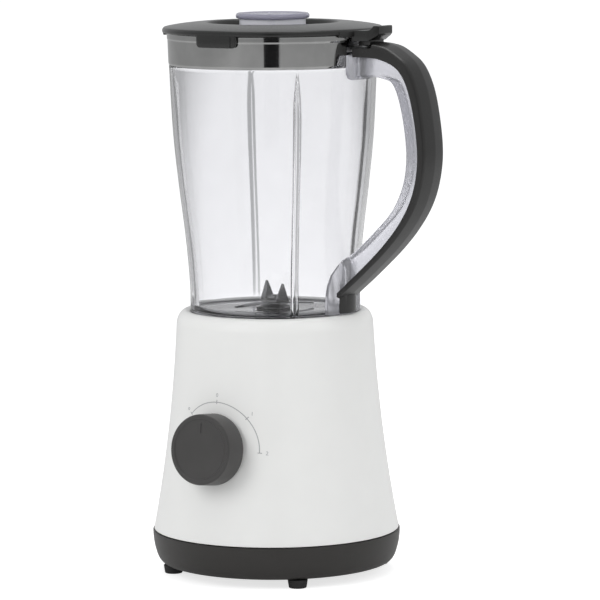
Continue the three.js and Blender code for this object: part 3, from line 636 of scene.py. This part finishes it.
def housing():
    heights = [mix(SEAM + 1.0, SHOULDER, i / 26) for i in range(27)]
    side = [(housing_radius(z), z) for z in heights]
    edge = [(housing_radius(SEAM) - 0.7, SEAM), (housing_radius(SEAM) - 0.15, SEAM + 0.25)]
    shoulder = spline_points([
        (HOUSING_NECK, SHOULDER),
        (HOUSING_NECK - 0.2, 171),
        (HOUSING_NECK - 1.3, 174.5),
        (HOUSING_NECK - 2.9, 177),
        (HOUSING_NECK - 4.8, HOUSING_TOP - 0.4),
        (HOUSING_NECK - 6.7, HOUSING_TOP),
        (SOCKET_RADIUS + 1.2, HOUSING_TOP - 0.5),
    ], 24)
    top = shoulder[1:] + rounded([
        (SOCKET_RADIUS + 1.2, HOUSING_TOP - 0.5),
        (SOCKET_RADIUS, HOUSING_TOP - 1.0, 1.0),
        (SOCKET_RADIUS, DECK, 1.0),
        (10.0, DECK, 0.6),
        (10.0, DECK - HOUSING_WALL, 0.3),
        (SOCKET_RADIUS + 2.0, DECK - HOUSING_WALL, 2.0),
        (housing_radius(DECK) - HOUSING_WALL, DECK - 1.0),
    ], steps=8, closed=False)[1:]
    inner = [(housing_radius(z) - HOUSING_WALL, z) for z in heights[::-2] if z < DECK - 6]
    inner.append((housing_radius(SEAM) - HOUSING_WALL, SEAM))
    shell = revolve("housing_shell", edge + side + top + inner, 180)
    knob_hole = revolve("hole", [(0, -8), (5.2, -8), (5.2, 8), (0, 8)], 48)
    turn(knob_hole, knob_frame())
    combine(shell, knob_hole, "DIFFERENCE")
    post_profile = rounded([(2.2, 9.2, 0.3), (4.5, 9.2, 0.4), (4.7, 60, 0.3), (2.2, 60)], 3)
    posts = []
    for i in range(4):
        lo, hi = low(f"base_screw_{i + 1}"), high(f"base_screw_{i + 1}")
        post = revolve("post", post_profile, 32)
        posts.append(turn(post, Matrix.Translation(((lo.x + hi.x) / 2, (lo.y + hi.y) / 2, 0))))
    shell = bundle("housing_shell", [shell, *posts])
    return finish(shell, "white_plastic", "base", "housing")


def knob_frame():
    """From the knob's own frame (+Z out of the wall, +Y up along it) to millimetres from the axis."""
    across = Vector((1, 0, 0))
    up = KNOB_OUT.cross(across)
    turned = Matrix((across, up, KNOB_OUT)).transposed().to_4x4()
    return Matrix.Translation(KNOB_CENTRE) @ turned


def base_cover():
    outer = rounded([
        (0, COVER_BOTTOM),
        *spline_points([
            (74.5, COVER_BOTTOM), (77.5, 6.8), (79.4, 8.4), (80.9, 10.8), (82.2, 14.5), (83.3, 19),
            (COVER_RADIUS - 0.2, 24), (COVER_RADIUS, SEAM - 1.0),
        ], 28),
        (COVER_RADIUS - 0.1, SEAM - 0.5, 0.4),
        (80.0, SEAM - 0.4, 0.3),
        (80.0, SEAM + 3.8, 0.4),
        (78.4, SEAM + 3.8, 0.4),
        (78.4, 26.0, 0.5),
        (77.6, 10.0, 1.5),
        (75.0, COVER_BOTTOM + 2.5, 1.0),
        (0, COVER_BOTTOM + 2.5),
    ], steps=6, closed=False)
    cover = revolve("cover", outer, 180)
    slots = []
    for i in range(12):
        reach = 34.0 if i % 2 else 46.0
        rounding = rounded([(17, -1.6, 1.5), (reach, -1.6, 1.5), (reach, 1.6, 1.5), (17, 1.6, 1.5)], 4)
        slots.append(spun(plate("slot", rounding, 0, 20), 30 * (i + 0.5)))
    for x, y in foot_places():
        hole = revolve("slot", [(0, 0), (2.2, 0), (2.2, 20), (0, 20)], 24)
        slots.append(turn(hole, Matrix.Translation((x, y, 0))))
    for i in range(4):
        lo, hi = low(f"base_screw_{i + 1}"), high(f"base_screw_{i + 1}")
        well = revolve("slot", [(0, 0), (4.0, 0), (4.0, 7.5), (2.0, 7.5), (2.0, 20), (0, 20)], 32)
        slots.append(turn(well, Matrix.Translation(((lo.x + hi.x) / 2, (lo.y + hi.y) / 2, 0))))
    gland_hole = revolve("slot", [(0, -20), (6.3, -20), (6.3, 20), (0, 20)], 40)
    slots.append(turn(gland_hole, gland_frame()))
    combine(cover, bundle("slots", slots), "DIFFERENCE")
    cover.name = "base_cover_shell"
    return finish(cover, "base_grey_plastic", "base", "base_cover")


def gland_frame():
    """Square to the cover's leaning back wall, +Z outward."""
    lean = math.atan(1.1 / 4.5)
    return Matrix.Translation((0, 82.8, 17.0)) @ Matrix.Rotation(-math.pi / 2 - lean, 4, "X")


def cord_gland():
    profile = rounded([
        (3.4, -8, 0.4), (6.0, -8, 0.4), (6.0, 0.4), (8.6, 0.4, 0.3), (8.6, 1.9, 0.8), (7.2, 2.6, 0.6),
        (3.4, 2.6, 0.8),
    ], 4)
    gland = revolve("cord_gland_bush", profile, 48)
    turn(gland, gland_frame())
    return finish(gland, "black_plastic", "base", "cord_gland")


def foot_places():
    names = ["foot_right_back", "foot_left_back", "foot_left_front", "foot_right_front"]
    return [((low(n).x + high(n).x) / 2, (low(n).y + high(n).y) / 2) for n in names]


def feet():
    names = ["foot_right_back", "foot_left_back", "foot_left_front", "foot_right_front"]
    radius = (high(names[0]).x - low(names[0]).x) / 2
    for name, (x, y) in zip(names, foot_places()):
        profile = rounded([
            (0, 0.35), (radius - 3.2, 0.35, 0.3), (radius - 2.8, 0, 0.3), (radius - 0.9, 0, 0.8),
            (radius, COVER_BOTTOM - 0.3, 0.5), (1.9, COVER_BOTTOM - 0.3), (1.9, 11, 0.4), (0, 11),
        ], 4, closed=False)
        pad = turn(revolve(f"{name}_pad", profile, 48), Matrix.Translation((x, y, 0)))
        finish(pad, "black_rubber", "base", name)


# ------------------------------------------------------------------ knob and dial


def knob():
    depth = 17.55
    r = KNOB_RADIUS
    profile = rounded([
        (0, 13.9), (3.2, 13.9), (3.2, 3.8), (7.0, 3.8, 0.4), (7.0, depth - 3), (r - 3, depth - 3, 1),
        (r - 2.2, 0.8, 0.3), (r, 0.8, 0.5), (r - 0.45, depth - 0.2, 2.0), (r - 3.4, depth, 0.5),
        (r - 4.4, depth - 0.9, 0.8), (0, depth - 1.3),
    ], 6, closed=False)
    cap = revolve("knob", profile, 144)
    marker_outline = rounded([(-0.7, 11, 0.6), (0.7, 11, 0.6), (0.7, 17.5, 0.6), (-0.7, 17.5, 0.6)], 5)
    groove = plate("groove", marker_outline, depth - 1.35, depth + 2)
    combine(cap, groove, "DIFFERENCE")
    turn(cap, knob_frame())
    cap.name = "speed_knob_cap"
    return finish(cap, "knob_plastic", "knob", "speed_knob")


def on_housing(x, y, lift):
    """Point of the housing's surface seen from the knob's frame at (x, y), lifted off it."""
    to_axis = knob_frame()
    height = 0.0
    for _ in range(12):
        point = to_axis @ Vector((x, y, height))
        height += (housing_radius(point.z) - math.hypot(point.x, point.y)) * 0.98
    return to_axis @ Vector((x, y, height + lift))


def printed(name, outlines):
    """Thin ink on the housing from grids of quads: each outline is a pair of equal point lists."""
    verts, faces = [], []
    for inner, outer in outlines:
        start = len(verts)
        for (x0, y0), (x1, y1) in zip(inner, outer):
            verts += [on_housing(x0, y0, -0.03), on_housing(x1, y1, -0.03)]
            verts += [on_housing(x1, y1, 0.05), on_housing(x0, y0, 0.05)]
        for k in range(len(inner) - 1):
            a, b = start + 4 * k, start + 4 * (k + 1)
            faces += [(a + i, a + (i + 1) % 4, b + (i + 1) % 4, b + i) for i in range(4)]
        end = start + 4 * (len(inner) - 1)
        faces += [tuple(start + i for i in range(4)), tuple(end + i for i in range(4))]
    return make(name, [tuple(v) for v in verts], faces)


DIAL_RADIUS = 31.5


def dial_point(degrees, radius):
    """Degrees clockwise from straight up."""
    angle = math.radians(degrees)
    return radius * math.sin(angle), radius * math.cos(angle)


def dial():
    width = 0.28
    steps = 60
    angles = [mix(-45, 90, i / steps) for i in range(steps + 1)]
    arc_inner = [dial_point(a, DIAL_RADIUS - width) for a in angles]
    arc_outer = [dial_point(a, DIAL_RADIUS + width) for a in angles]
    marks = [(arc_inner, arc_outer)]
    for stop in (-45, 0, 45, 90):
        half = math.degrees(width / DIAL_RADIUS)
        lengths = [mix(DIAL_RADIUS - 1.2, DIAL_RADIUS + 1.6, k / 4) for k in range(5)]
        before = [dial_point(stop - half, r) for r in lengths]
        after = [dial_point(stop + half, r) for r in lengths]
        marks.append((before, after))
    finish(printed("dial_print", marks), "white_plastic", "base", material="print_grey")
    for text, stop in (("0", 0), ("1", 45), ("2", 90)):
        number(text, *dial_point(stop, DIAL_RADIUS + 4.6))
    dot = [dial_point(10 * k, 0.9) for k in range(37)]
    x, y = dial_point(-45, DIAL_RADIUS + 4.4)
    ring = ([(x + 0.55 * u, y + 0.55 * v) for u, v in dot], [(x + 1.1 * u, y + 1.1 * v) for u, v in dot])
    finish(printed("dial_pulse_mark", [ring]), "white_plastic", "base", material="print_grey")


def number(text, x, y):
    """A digit printed on the housing, upright, its middle at (x, y) of the knob's frame."""
    curve = bpy.data.curves.new("digit", "FONT")
    curve.body = text
    curve.size = 3.6
    curve.align_x = "CENTER"
    curve.align_y = "CENTER"
    curve.resolution_u = 4
    curve.extrude = 0.5
    source = bpy.data.objects.new("digit", curve)
    bpy.context.scene.collection.objects.link(source)
    graph = bpy.context.evaluated_depsgraph_get()
    mesh = bpy.data.meshes.new_from_object(source.evaluated_get(graph), depsgraph=graph)
    verts = [
        tuple(on_housing(x + v.co.x, y + v.co.y, 0.05 if v.co.z > 0 else -0.03)) for v in mesh.vertices]
    faces = [tuple(p.vertices) for p in mesh.polygons]
    bpy.data.objects.remove(source)
    finish(make(f"dial_digit_{text}", verts, faces), "white_plastic", "base", material="print_grey")


# ------------------------------------------------------------------ jar


RIBS = (47.5, 137.5, 227.5, 317.5)  # degrees round the axis
RIB_HALF = 2.5
RIB_DEPTH = 2.6

# Right half of each clear pad on the jar's wall, as (sideways, height) from the bottom up
UPPER_PAD = [(0, 336.4), (10.5, 336.4), (13.4, 337.4), (15.2, 340.2), (15.6, 344), (15.6, 353), (0, 353)]
LOWER_PAD = [
    (0, 179.6), (20.0, 179.6), (19.9, 186), (19.6, 192), (18.7, 199), (16.2, 206), (11.2, 211.4),
    (6.2, 215.4), (0, 217),
]


def jar_angles():
    """Angles round the jar, closer together at the ribs."""
    angles = {round(3.0 * i, 3) for i in range(120)}
    for rib in RIBS:
        angles |= {round((rib + k * 0.4) % 360, 3) for k in range(-12, 13)}
    return [math.radians(a) for a in sorted(angles)]


def jar():
    outer = [(57.2, 177.8)] + [spline(JAR_SIDE, i / 60) for i in range(61)][1:-1]
    outer += [(70.1, 344.2), (69.9, 344.5), (68.9, 344.6)]
    rim = rounded([
        (68.9, 344.6), (68.9, JAR_RIM, 0.8), (66.9, JAR_RIM, 0.8), (67.4, 343.0),
    ], 5, closed=False)[1:-1]
    inner = [(r - JAR_WALL, z) for r, z in [spline(JAR_SIDE, i / 44) for i in range(45)] if z > 190][::-1]
    bottom = rounded([
        inner[-1], (54.6, JAR_FLOOR, 7.0), (9.3, JAR_FLOOR, 0.4), (9.3, JAR_FLOOR - 3, 0.4),
        (54.0, JAR_FLOOR - 3, 2.0), (54.0, DECK + 0.3, 0.5), (56.6, DECK + 0.3, 0.5), (56.6, 177.0, 0.6),
        (57.2, 177.8),
    ], 8, closed=False)[1:-1]
    outline = outer + rim + inner + bottom
    inner_first = len(outer) + len(rim)
    inner_last = inner_first + len(inner) + 9

    def shape(radius, height, angle, index):
        if inner_first <= index < inner_last:
            rib = min(RIBS, key=lambda place: abs(place - math.degrees(angle)))
            sideways = abs(angle - math.radians(rib)) * radius
            width = RIB_HALF * mix(0.2, 1.0, 1 - smooth(height, 316, 341))
            if sideways < width:
                lift = RIB_DEPTH * (1 - smooth(height, 332, 342))
                return radius - lift * (0.5 + 0.5 * math.cos(math.pi * sideways / width)) ** 0.45, height
        return radius, height

    wall = revolve("jar_wall", outline, jar_angles(), shape, sharp=50)
    wall.data.materials.append(MATERIALS["clear_plastic"])
    wall.data.materials.append(MATERIALS["clear_handle"])
    arm = handle_core()
    pads = [jar_pad("upper_pad", UPPER_PAD, 72.0), jar_pad("lower_pad", LOWER_PAD, 59.5)]
    for extra in (arm, *pads):
        extra.data.materials.append(MATERIALS["clear_plastic"])
        extra.data.materials.append(MATERIALS["clear_handle"])
        for face in extra.data.polygons:
            face.material_index = 1
    for pad in pads:
        combine(arm, pad, "UNION", sharp=50)
    cavity = [(r - 0.9, z) for r, z in spline_points(JAR_SIDE, 30)]
    inside = revolve(
        "inside", [(0, 150), (54.9, 150)] + cavity + [(67.9, 346), (67.9, 400), (0, 400)], 180)
    combine(arm, inside, "DIFFERENCE", sharp=50)
    combine(wall, arm, "UNION", sharp=50)
    wall.name = "jar_body"
    return finish(wall, "clear_plastic", "jar", "jar", keep_materials=True)


def jar_pad(name, half_outline, outer):
    """Part of a ring round the jar inside an outline seen along X."""
    bottom, top = half_outline[0][1], half_outline[-1][1]
    ring = revolve("ring", [(50, bottom), (outer, bottom), (outer, top), (50, top)], 240)
    outline = half_outline + [(-y, z) for y, z in half_outline[-2:0:-1]]
    window = loft(name, [[(x, y, z) for y, z in outline] for x in (40, 90)])
    combine(window, ring, "INTERSECT", sharp=50)
    return soften(window, 0.8, 3, sharp=50)


def handle_core():
    """Clear arm of the handle, from the band round to the jar's foot."""
    sections = []
    steps = 72
    for i in range(steps + 1):
        t = i / steps
        outer = Vector(side_step(GRIP_EDGE, t, 0.0))
        inner = Vector(side_step(GRIP_EDGE, t, -CORE_DEPTH * from_table(
            [(0, 1.3), (0.12, 1.1), (0.3, 1.0), (0.75, 0.98), (0.9, 1.15), (1.0, 1.5)], t)))
        across = inner - outer
        depth = across.length
        unit = across.normalized()
        half = CORE_HALF
        profile = rounded([(-half, 0, 0.6), (half, 0, 0.6), (half, depth, 3.6), (-half, depth, 3.6)], 6)
        sections.append([(outer.x + unit.x * v, u, outer.y + unit.y * v) for u, v in profile])
    return loft("arm", sections)


def grip_thickness(t):
    return from_table([
        (0, 11.4), (0.14, 10.4), (0.24, 8.4), (0.35, 7.8), (0.5, 7.1), (0.66, 6.0), (0.8, 5.2), (0.93, 4.6),
        (1, 4.0),
    ], t)


def handle_grip():
    sections = []
    steps = 72
    for i in range(steps + 1):
        t = i / steps
        edge = Vector(side_step(GRIP_EDGE, t, 0.15))
        back = Vector(side_step(GRIP_EDGE, t, grip_thickness(t)))
        across = back - edge
        depth = across.length
        unit = across.normalized()
        soft = min(3.4, depth * 0.6)
        half = GRIP_HALF
        crown = min(0.9, depth * 0.12)
        profile = rounded([
            (-half + 0.3, 0, 0.5), (half - 0.3, 0, 0.5), (half, depth - crown - 0.4, soft),
            (0, depth, 9), (-half, depth - crown - 0.4, soft),
        ], 6)
        sections.append([(edge.x + unit.x * v, u, edge.y + unit.y * v) for u, v in profile])
    grip = loft("grip", sections, sharp=50)
    foot_profile = rounded([(0, 179.6), (18, 179.6, 1.4), (18, 192), (0, 192)], 5, closed=False)
    foot = revolve("foot", foot_profile, 96)
    turn(foot, Matrix.Translation((44.2, 0, 0)))
    combine(grip, foot, "UNION", sharp=50)
    keep_out = revolve("envelope", envelope(0.35), 180)
    combine(grip, keep_out, "DIFFERENCE", sharp=50)
    recess = soften(block("recess", (60, -GRIP_HALF - 9, 357.7), (86.5, GRIP_HALF + 9, 380)), 1.5, 4)
    combine(grip, recess, "DIFFERENCE", sharp=50)
    grip.name = "handle_grip_shell"
    return finish(grip, "grip_plastic", "jar", "handle_grip")


def envelope(clearance):
    """Outline just outside the jar, its pads and the band."""
    side = [(r + clearance, z) for r, z in spline_points(JAR_SIDE, 40)]
    pad = [(max(r, 59.5 + clearance) if z < 216 else r, z) for r, z in side if z < 335]
    front = 72.4 + clearance
    return [(0, 160), (59.5 + clearance, 160)] + pad + [(front, 335.5), (front, 380), (0, 380)]


def steel_band():
    top = high("steel_band").z
    inner = 69.2
    profile = rounded([
        (inner, BAND_BOTTOM, 0.2),
        (BAND_RADIUS - 1.4, BAND_BOTTOM, 0.4),
        (BAND_RADIUS - 0.95, BAND_BOTTOM + 1.5, 1.0),
        (BAND_RADIUS - 0.45, top - 4.6, 1.0),
        (BAND_RADIUS - 0.1, top - 3.6, 0.8),
        (BAND_RADIUS, top - 0.1, 0.4),
        (inner, top, 0.3),
    ], 5)
    band = revolve("band", profile, 240)
    gap = block("gap", (50, -15.6, 300), (90, 15.6, 363.9))
    combine(band, gap, "DIFFERENCE")
    band.name = "steel_band_ring"
    return finish(band, "band_steel", "jar", "steel_band")


# ------------------------------------------------------------------ blades


HUB_RADIUS = 6.6


def blade(name, hub_bottom, width, thickness, reach, bend_at, slope, tip_width, angle):
    """Pair of blades: two arms that bend by `slope` degrees past bend_at, ground on the leading side."""
    curl = 1.8
    lean = math.radians(slope)
    arc = abs(lean) * curl
    side = 1 if lean > 0 else -1

    def arm_at(s):
        """Distance from the shaft, height and lean of the arm at s along it."""
        if s <= bend_at:
            return s, 0.0, 0.0
        turned = min((s - bend_at) / curl, abs(lean))
        x = bend_at + curl * math.sin(turned)
        z = curl * (1 - math.cos(turned)) * side
        rest = max(0.0, s - bend_at - arc)
        return x + rest * math.cos(lean), z + rest * math.sin(lean), turned * side

    def section(s, way):
        x, z, tilt = arm_at(s)
        start = bend_at + arc * 0.3
        taper = max(0.0, (s - start) / (reach - start))
        half = mix(width / 2, tip_width / 2, taper)
        if s < HUB_RADIUS:
            half = max(half, math.sqrt(HUB_RADIUS ** 2 - s ** 2))
        ground = min(2.4, half * 0.9) * smooth(s, HUB_RADIUS, HUB_RADIUS + 2)
        lead = mix(1.0, 0.25, smooth(s, HUB_RADIUS, HUB_RADIUS + 2))
        plus = (ground, lead) if way > 0 else (0.0, 1.0)
        minus = (ground, lead) if way < 0 else (0.0, 1.0)
        profile = [
            (-half, 0),
            (half, 0),
            (half, thickness * (plus[1] - 0.01)),
            (half - plus[0] - 0.01, thickness),
            (-half + minus[0] + 0.01, thickness),
            (-half, thickness * (minus[1] - 0.01)),
        ]
        return [(way * (x - math.sin(tilt) * up), across, hub_bottom + z + math.cos(tilt) * up)
                for across, up in profile]

    stations = [reach * k / 34 for k in range(35)]
    sections = [section(s, -1) for s in stations[:0:-1]] + [section(s, 1) for s in stations]
    return spun(loft(name, sections, sharp=25), angle)


def blades():
    upper = blade("upper", 184.1, 10.6, 1.4, 24.6, 10.6, 84, 1.0, -31.5)
    lower = blade("lower", 182.4, 11.0, 1.4, 29.0, 12.0, -7, 2.0, 58.5)
    for thing, node in ((upper, "blade_pair_upper"), (lower, "blade_pair_lower")):
        hole = revolve("hole", [(0, 150), (3.3, 150), (3.3, 220), (0, 220)], 32)
        combine(thing, hole, "DIFFERENCE", sharp=25)
        thing.name = f"{node}_ground"
        finish(thing, "blade_steel", "blades", node)
    hexagon = [(5.2 * math.cos(TAU * k / 6), 5.2 * math.sin(TAU * k / 6)) for k in range(6)]
    nut = plate("nut", hexagon, 185.6, 188.0)
    soften(nut, 0.5)
    hole = revolve("hole", [(0, 150), (3.3, 150), (3.3, 220), (0, 220)], 32)
    combine(nut, hole, "DIFFERENCE")
    nut.name = "blade_nut_hex"
    finish(nut, "blade_steel", "blades", "blade_nut")
    shaft = revolve("blade_shaft_turned", rounded([
        (0, 162), (3.2, 162, 0.4), (3.2, 170.1), (4.0, 170.1, 0.2), (4.0, 182.1, 0.2), (3.0, 182.1),
        (3.0, 187.6, 0.5), (2.0, 188.6, 0.5), (0, 188.8),
    ], 4, closed=False), 48)
    finish(shaft, "blade_steel", "blades", "blade_shaft")
    bush = revolve("blade_housing_turned", rounded([
        (4.15, 170.4, 0.3), (8.9, 170.4, 0.4), (8.9, 179.9), (13, 179.9, 0.2), (13, 180.3, 0.3),
        (9.8, 180.9, 0.6), (6.6, 182, 0.4), (4.15, 182, 0.3),
    ], 4), 72)
    finish(bush, "blade_steel", "jar", "blade_housing")


# ------------------------------------------------------------------ lid and measuring cap


HOOK_CORNER = 2.6


def lid():
    bottom = JAR_RIM + 0.4
    r = LID_RADIUS
    dome = spline_points([
        (r, 367.6), (r, 368.4), (r - 0.5, 369.5), (r - 2.2, 370.5), (64, 371.9), (54, 373.0), (47, 373.3),
        (44.6, 372.8), (43.2, 370.8), (41.8, 367.4), (39.6, 366.2),
    ], 60)
    rim = rounded([(64.5, bottom), (r - 0.3, bottom, 0.5), dome[0]], 4, closed=False)[:-1]
    underside = rounded([
        dome[-1], (23.2, 366.2, 0.5), (23.2, 357, 0.4), (25.4, 357, 0.4), (25.4, 363.8, 1),
        (42.2, 363.8, 1.5), (45.9, 370.4, 1), (61.6, 369.0, 1), (61.6, 350.6, 0.4), (64.5, 350.6, 0.8),
        (64.5, 354), (62.9, 354), (62.9, 358.4), (64.5, 358.4),
    ], 6, closed=False)[1:]
    top = revolve("lid_top", rim + dome + underside, 216)
    inner = 72.1
    hooks = [(-87.2, 24, 359.0), (90, 24, 359.0), (180, 60, 364.4), (-15, 9.5, 364.8), (15, 9.5, 364.8)]
    extras = []
    for middle, span, hook_bottom in hooks:
        steps = 24
        turns = [math.radians(middle + mix(-span / 2, span / 2, k / steps)) for k in range(steps + 1)]
        sections = []
        for a in turns:
            to_end = (math.radians(span / 2) - abs(a - math.radians(middle))) * r
            inward = min(HOOK_CORNER, max(0.0, HOOK_CORNER - to_end))
            edge = hook_bottom + HOOK_CORNER - math.sqrt(HOOK_CORNER ** 2 - inward ** 2)
            outline = [(inner, 368), (inner, edge), (r, edge), (r, 368)]
            sections.append([(q * math.cos(a), q * math.sin(a), z) for q, z in outline])
        extras.append(soften(loft("hook", sections), 0.7))
    side = slab("tab", rounded([
        (71.5, 362.4), (82.5, 362.4, 3), (88.4, 366, 1.6), (89.8, 367.4, 0.8), (89.8, 372.4, 0.9),
        (86.4, 372.4, 0.9), (84.2, 369.8, 2), (80.5, 369.3, 3), (71.5, 369.3),
    ], 5), 15)
    tab_plan = [(70, -13.4), (82, -11.2), (91, -7.8), (91, 7.8), (82, 11.2), (70, 13.4)]
    plan = plate("plan", tab_plan, 350, 380)
    extras.append(soften(combine(side, plan, "INTERSECT"), 0.6))
    extras.append(soften(block("rib", (73.9, -8.5, 359.3), (83.2, 8.5, 364)), 0.6))
    for extra in extras:
        combine(top, extra, "UNION", sharp=32)
    cuts = [spun(block("groove", (r - 0.5, -0.35, 350), (r + 4, 0.35, 366.4)), -87.2 + 9.0)]
    for degrees in (-20.2, 20.2):
        cuts.append(spun(block("groove", (r - 0.4, -0.3, 350), (r + 4, 0.3, 369.2)), degrees))
    combine(top, bundle("grooves", cuts), "DIFFERENCE", sharp=32)
    top.name = "lid_shell"
    return finish(top, "lid_plastic", "lid", "lid")


def measuring_cap():
    top = CAP_TOP
    r = CAP_RADIUS
    profile = rounded([
        (0, top - 3), (20.4, top - 3, 1.5), (19.0, 347, 0.6), (21, 347, 0.8), (22.6, 366.4),
        (24.6, 366.6, 0.4), (24.6, 369, 0.5), (22.4, 369.6), (22.4, 375.6, 0.8), (r - 0.4, 375.8, 1.0),
        (r, top - 1.6, 1.6),
        (r - 1.2, top, 0.9), (r - 3.0, top - 0.9, 1.2), (0, top - 1.2),
    ], 6, closed=False)
    cup = revolve("cap", profile, 120)
    notch = spun(block("notch", (21.8, -1.7, 372.4), (30, 1.7, 375.0)), -56.5)
    combine(cup, notch, "DIFFERENCE")
    cup.data.materials.append(MATERIALS["cap_plastic"])
    cup.data.materials.append(MATERIALS["cap_neck"])
    for face in cup.data.polygons:
        height = face.center.z / MM
        face.material_index = 1 if 369.7 < height < 375.5 and abs(face.normal.z) < 0.5 else 0
    cup.name = "measuring_cap_cup"
    return finish(cup, "cap_plastic", "cap", "measuring_cap", keep_materials=True)


def lid_seal():
    profile = rounded([
        (63.2, 354.3, 0.4), (65, 354.5, 0.6), (66.4, 356.2, 1), (65, 357.9, 0.6), (63.2, 358.1, 0.4),
    ], 5)
    return finish(revolve("lid_seal_ring", profile, 180), "pale_rubber", "lid", "lid_seal")


# ------------------------------------------------------------------ carried-over CAD nodes


def dress_cad_nodes():
    """Better materials on the CAD nodes that stay."""
    slots = {part["node"]: part["material_slot"] for part in frame["record"]["subparts"]}
    for name, thing in frame["nodes"].items():
        thing.data.materials.clear()
        thing.data.materials.append(MATERIALS[slots[name]])
        for face in thing.data.polygons:
            face.material_index = 0


studio()
dress_cad_nodes()
housing()
base_cover()
cord_gland()
feet()
knob()
dial()
jar()
handle_grip()
steel_band()
blades()
lid()
lid_seal()
measuring_cap()
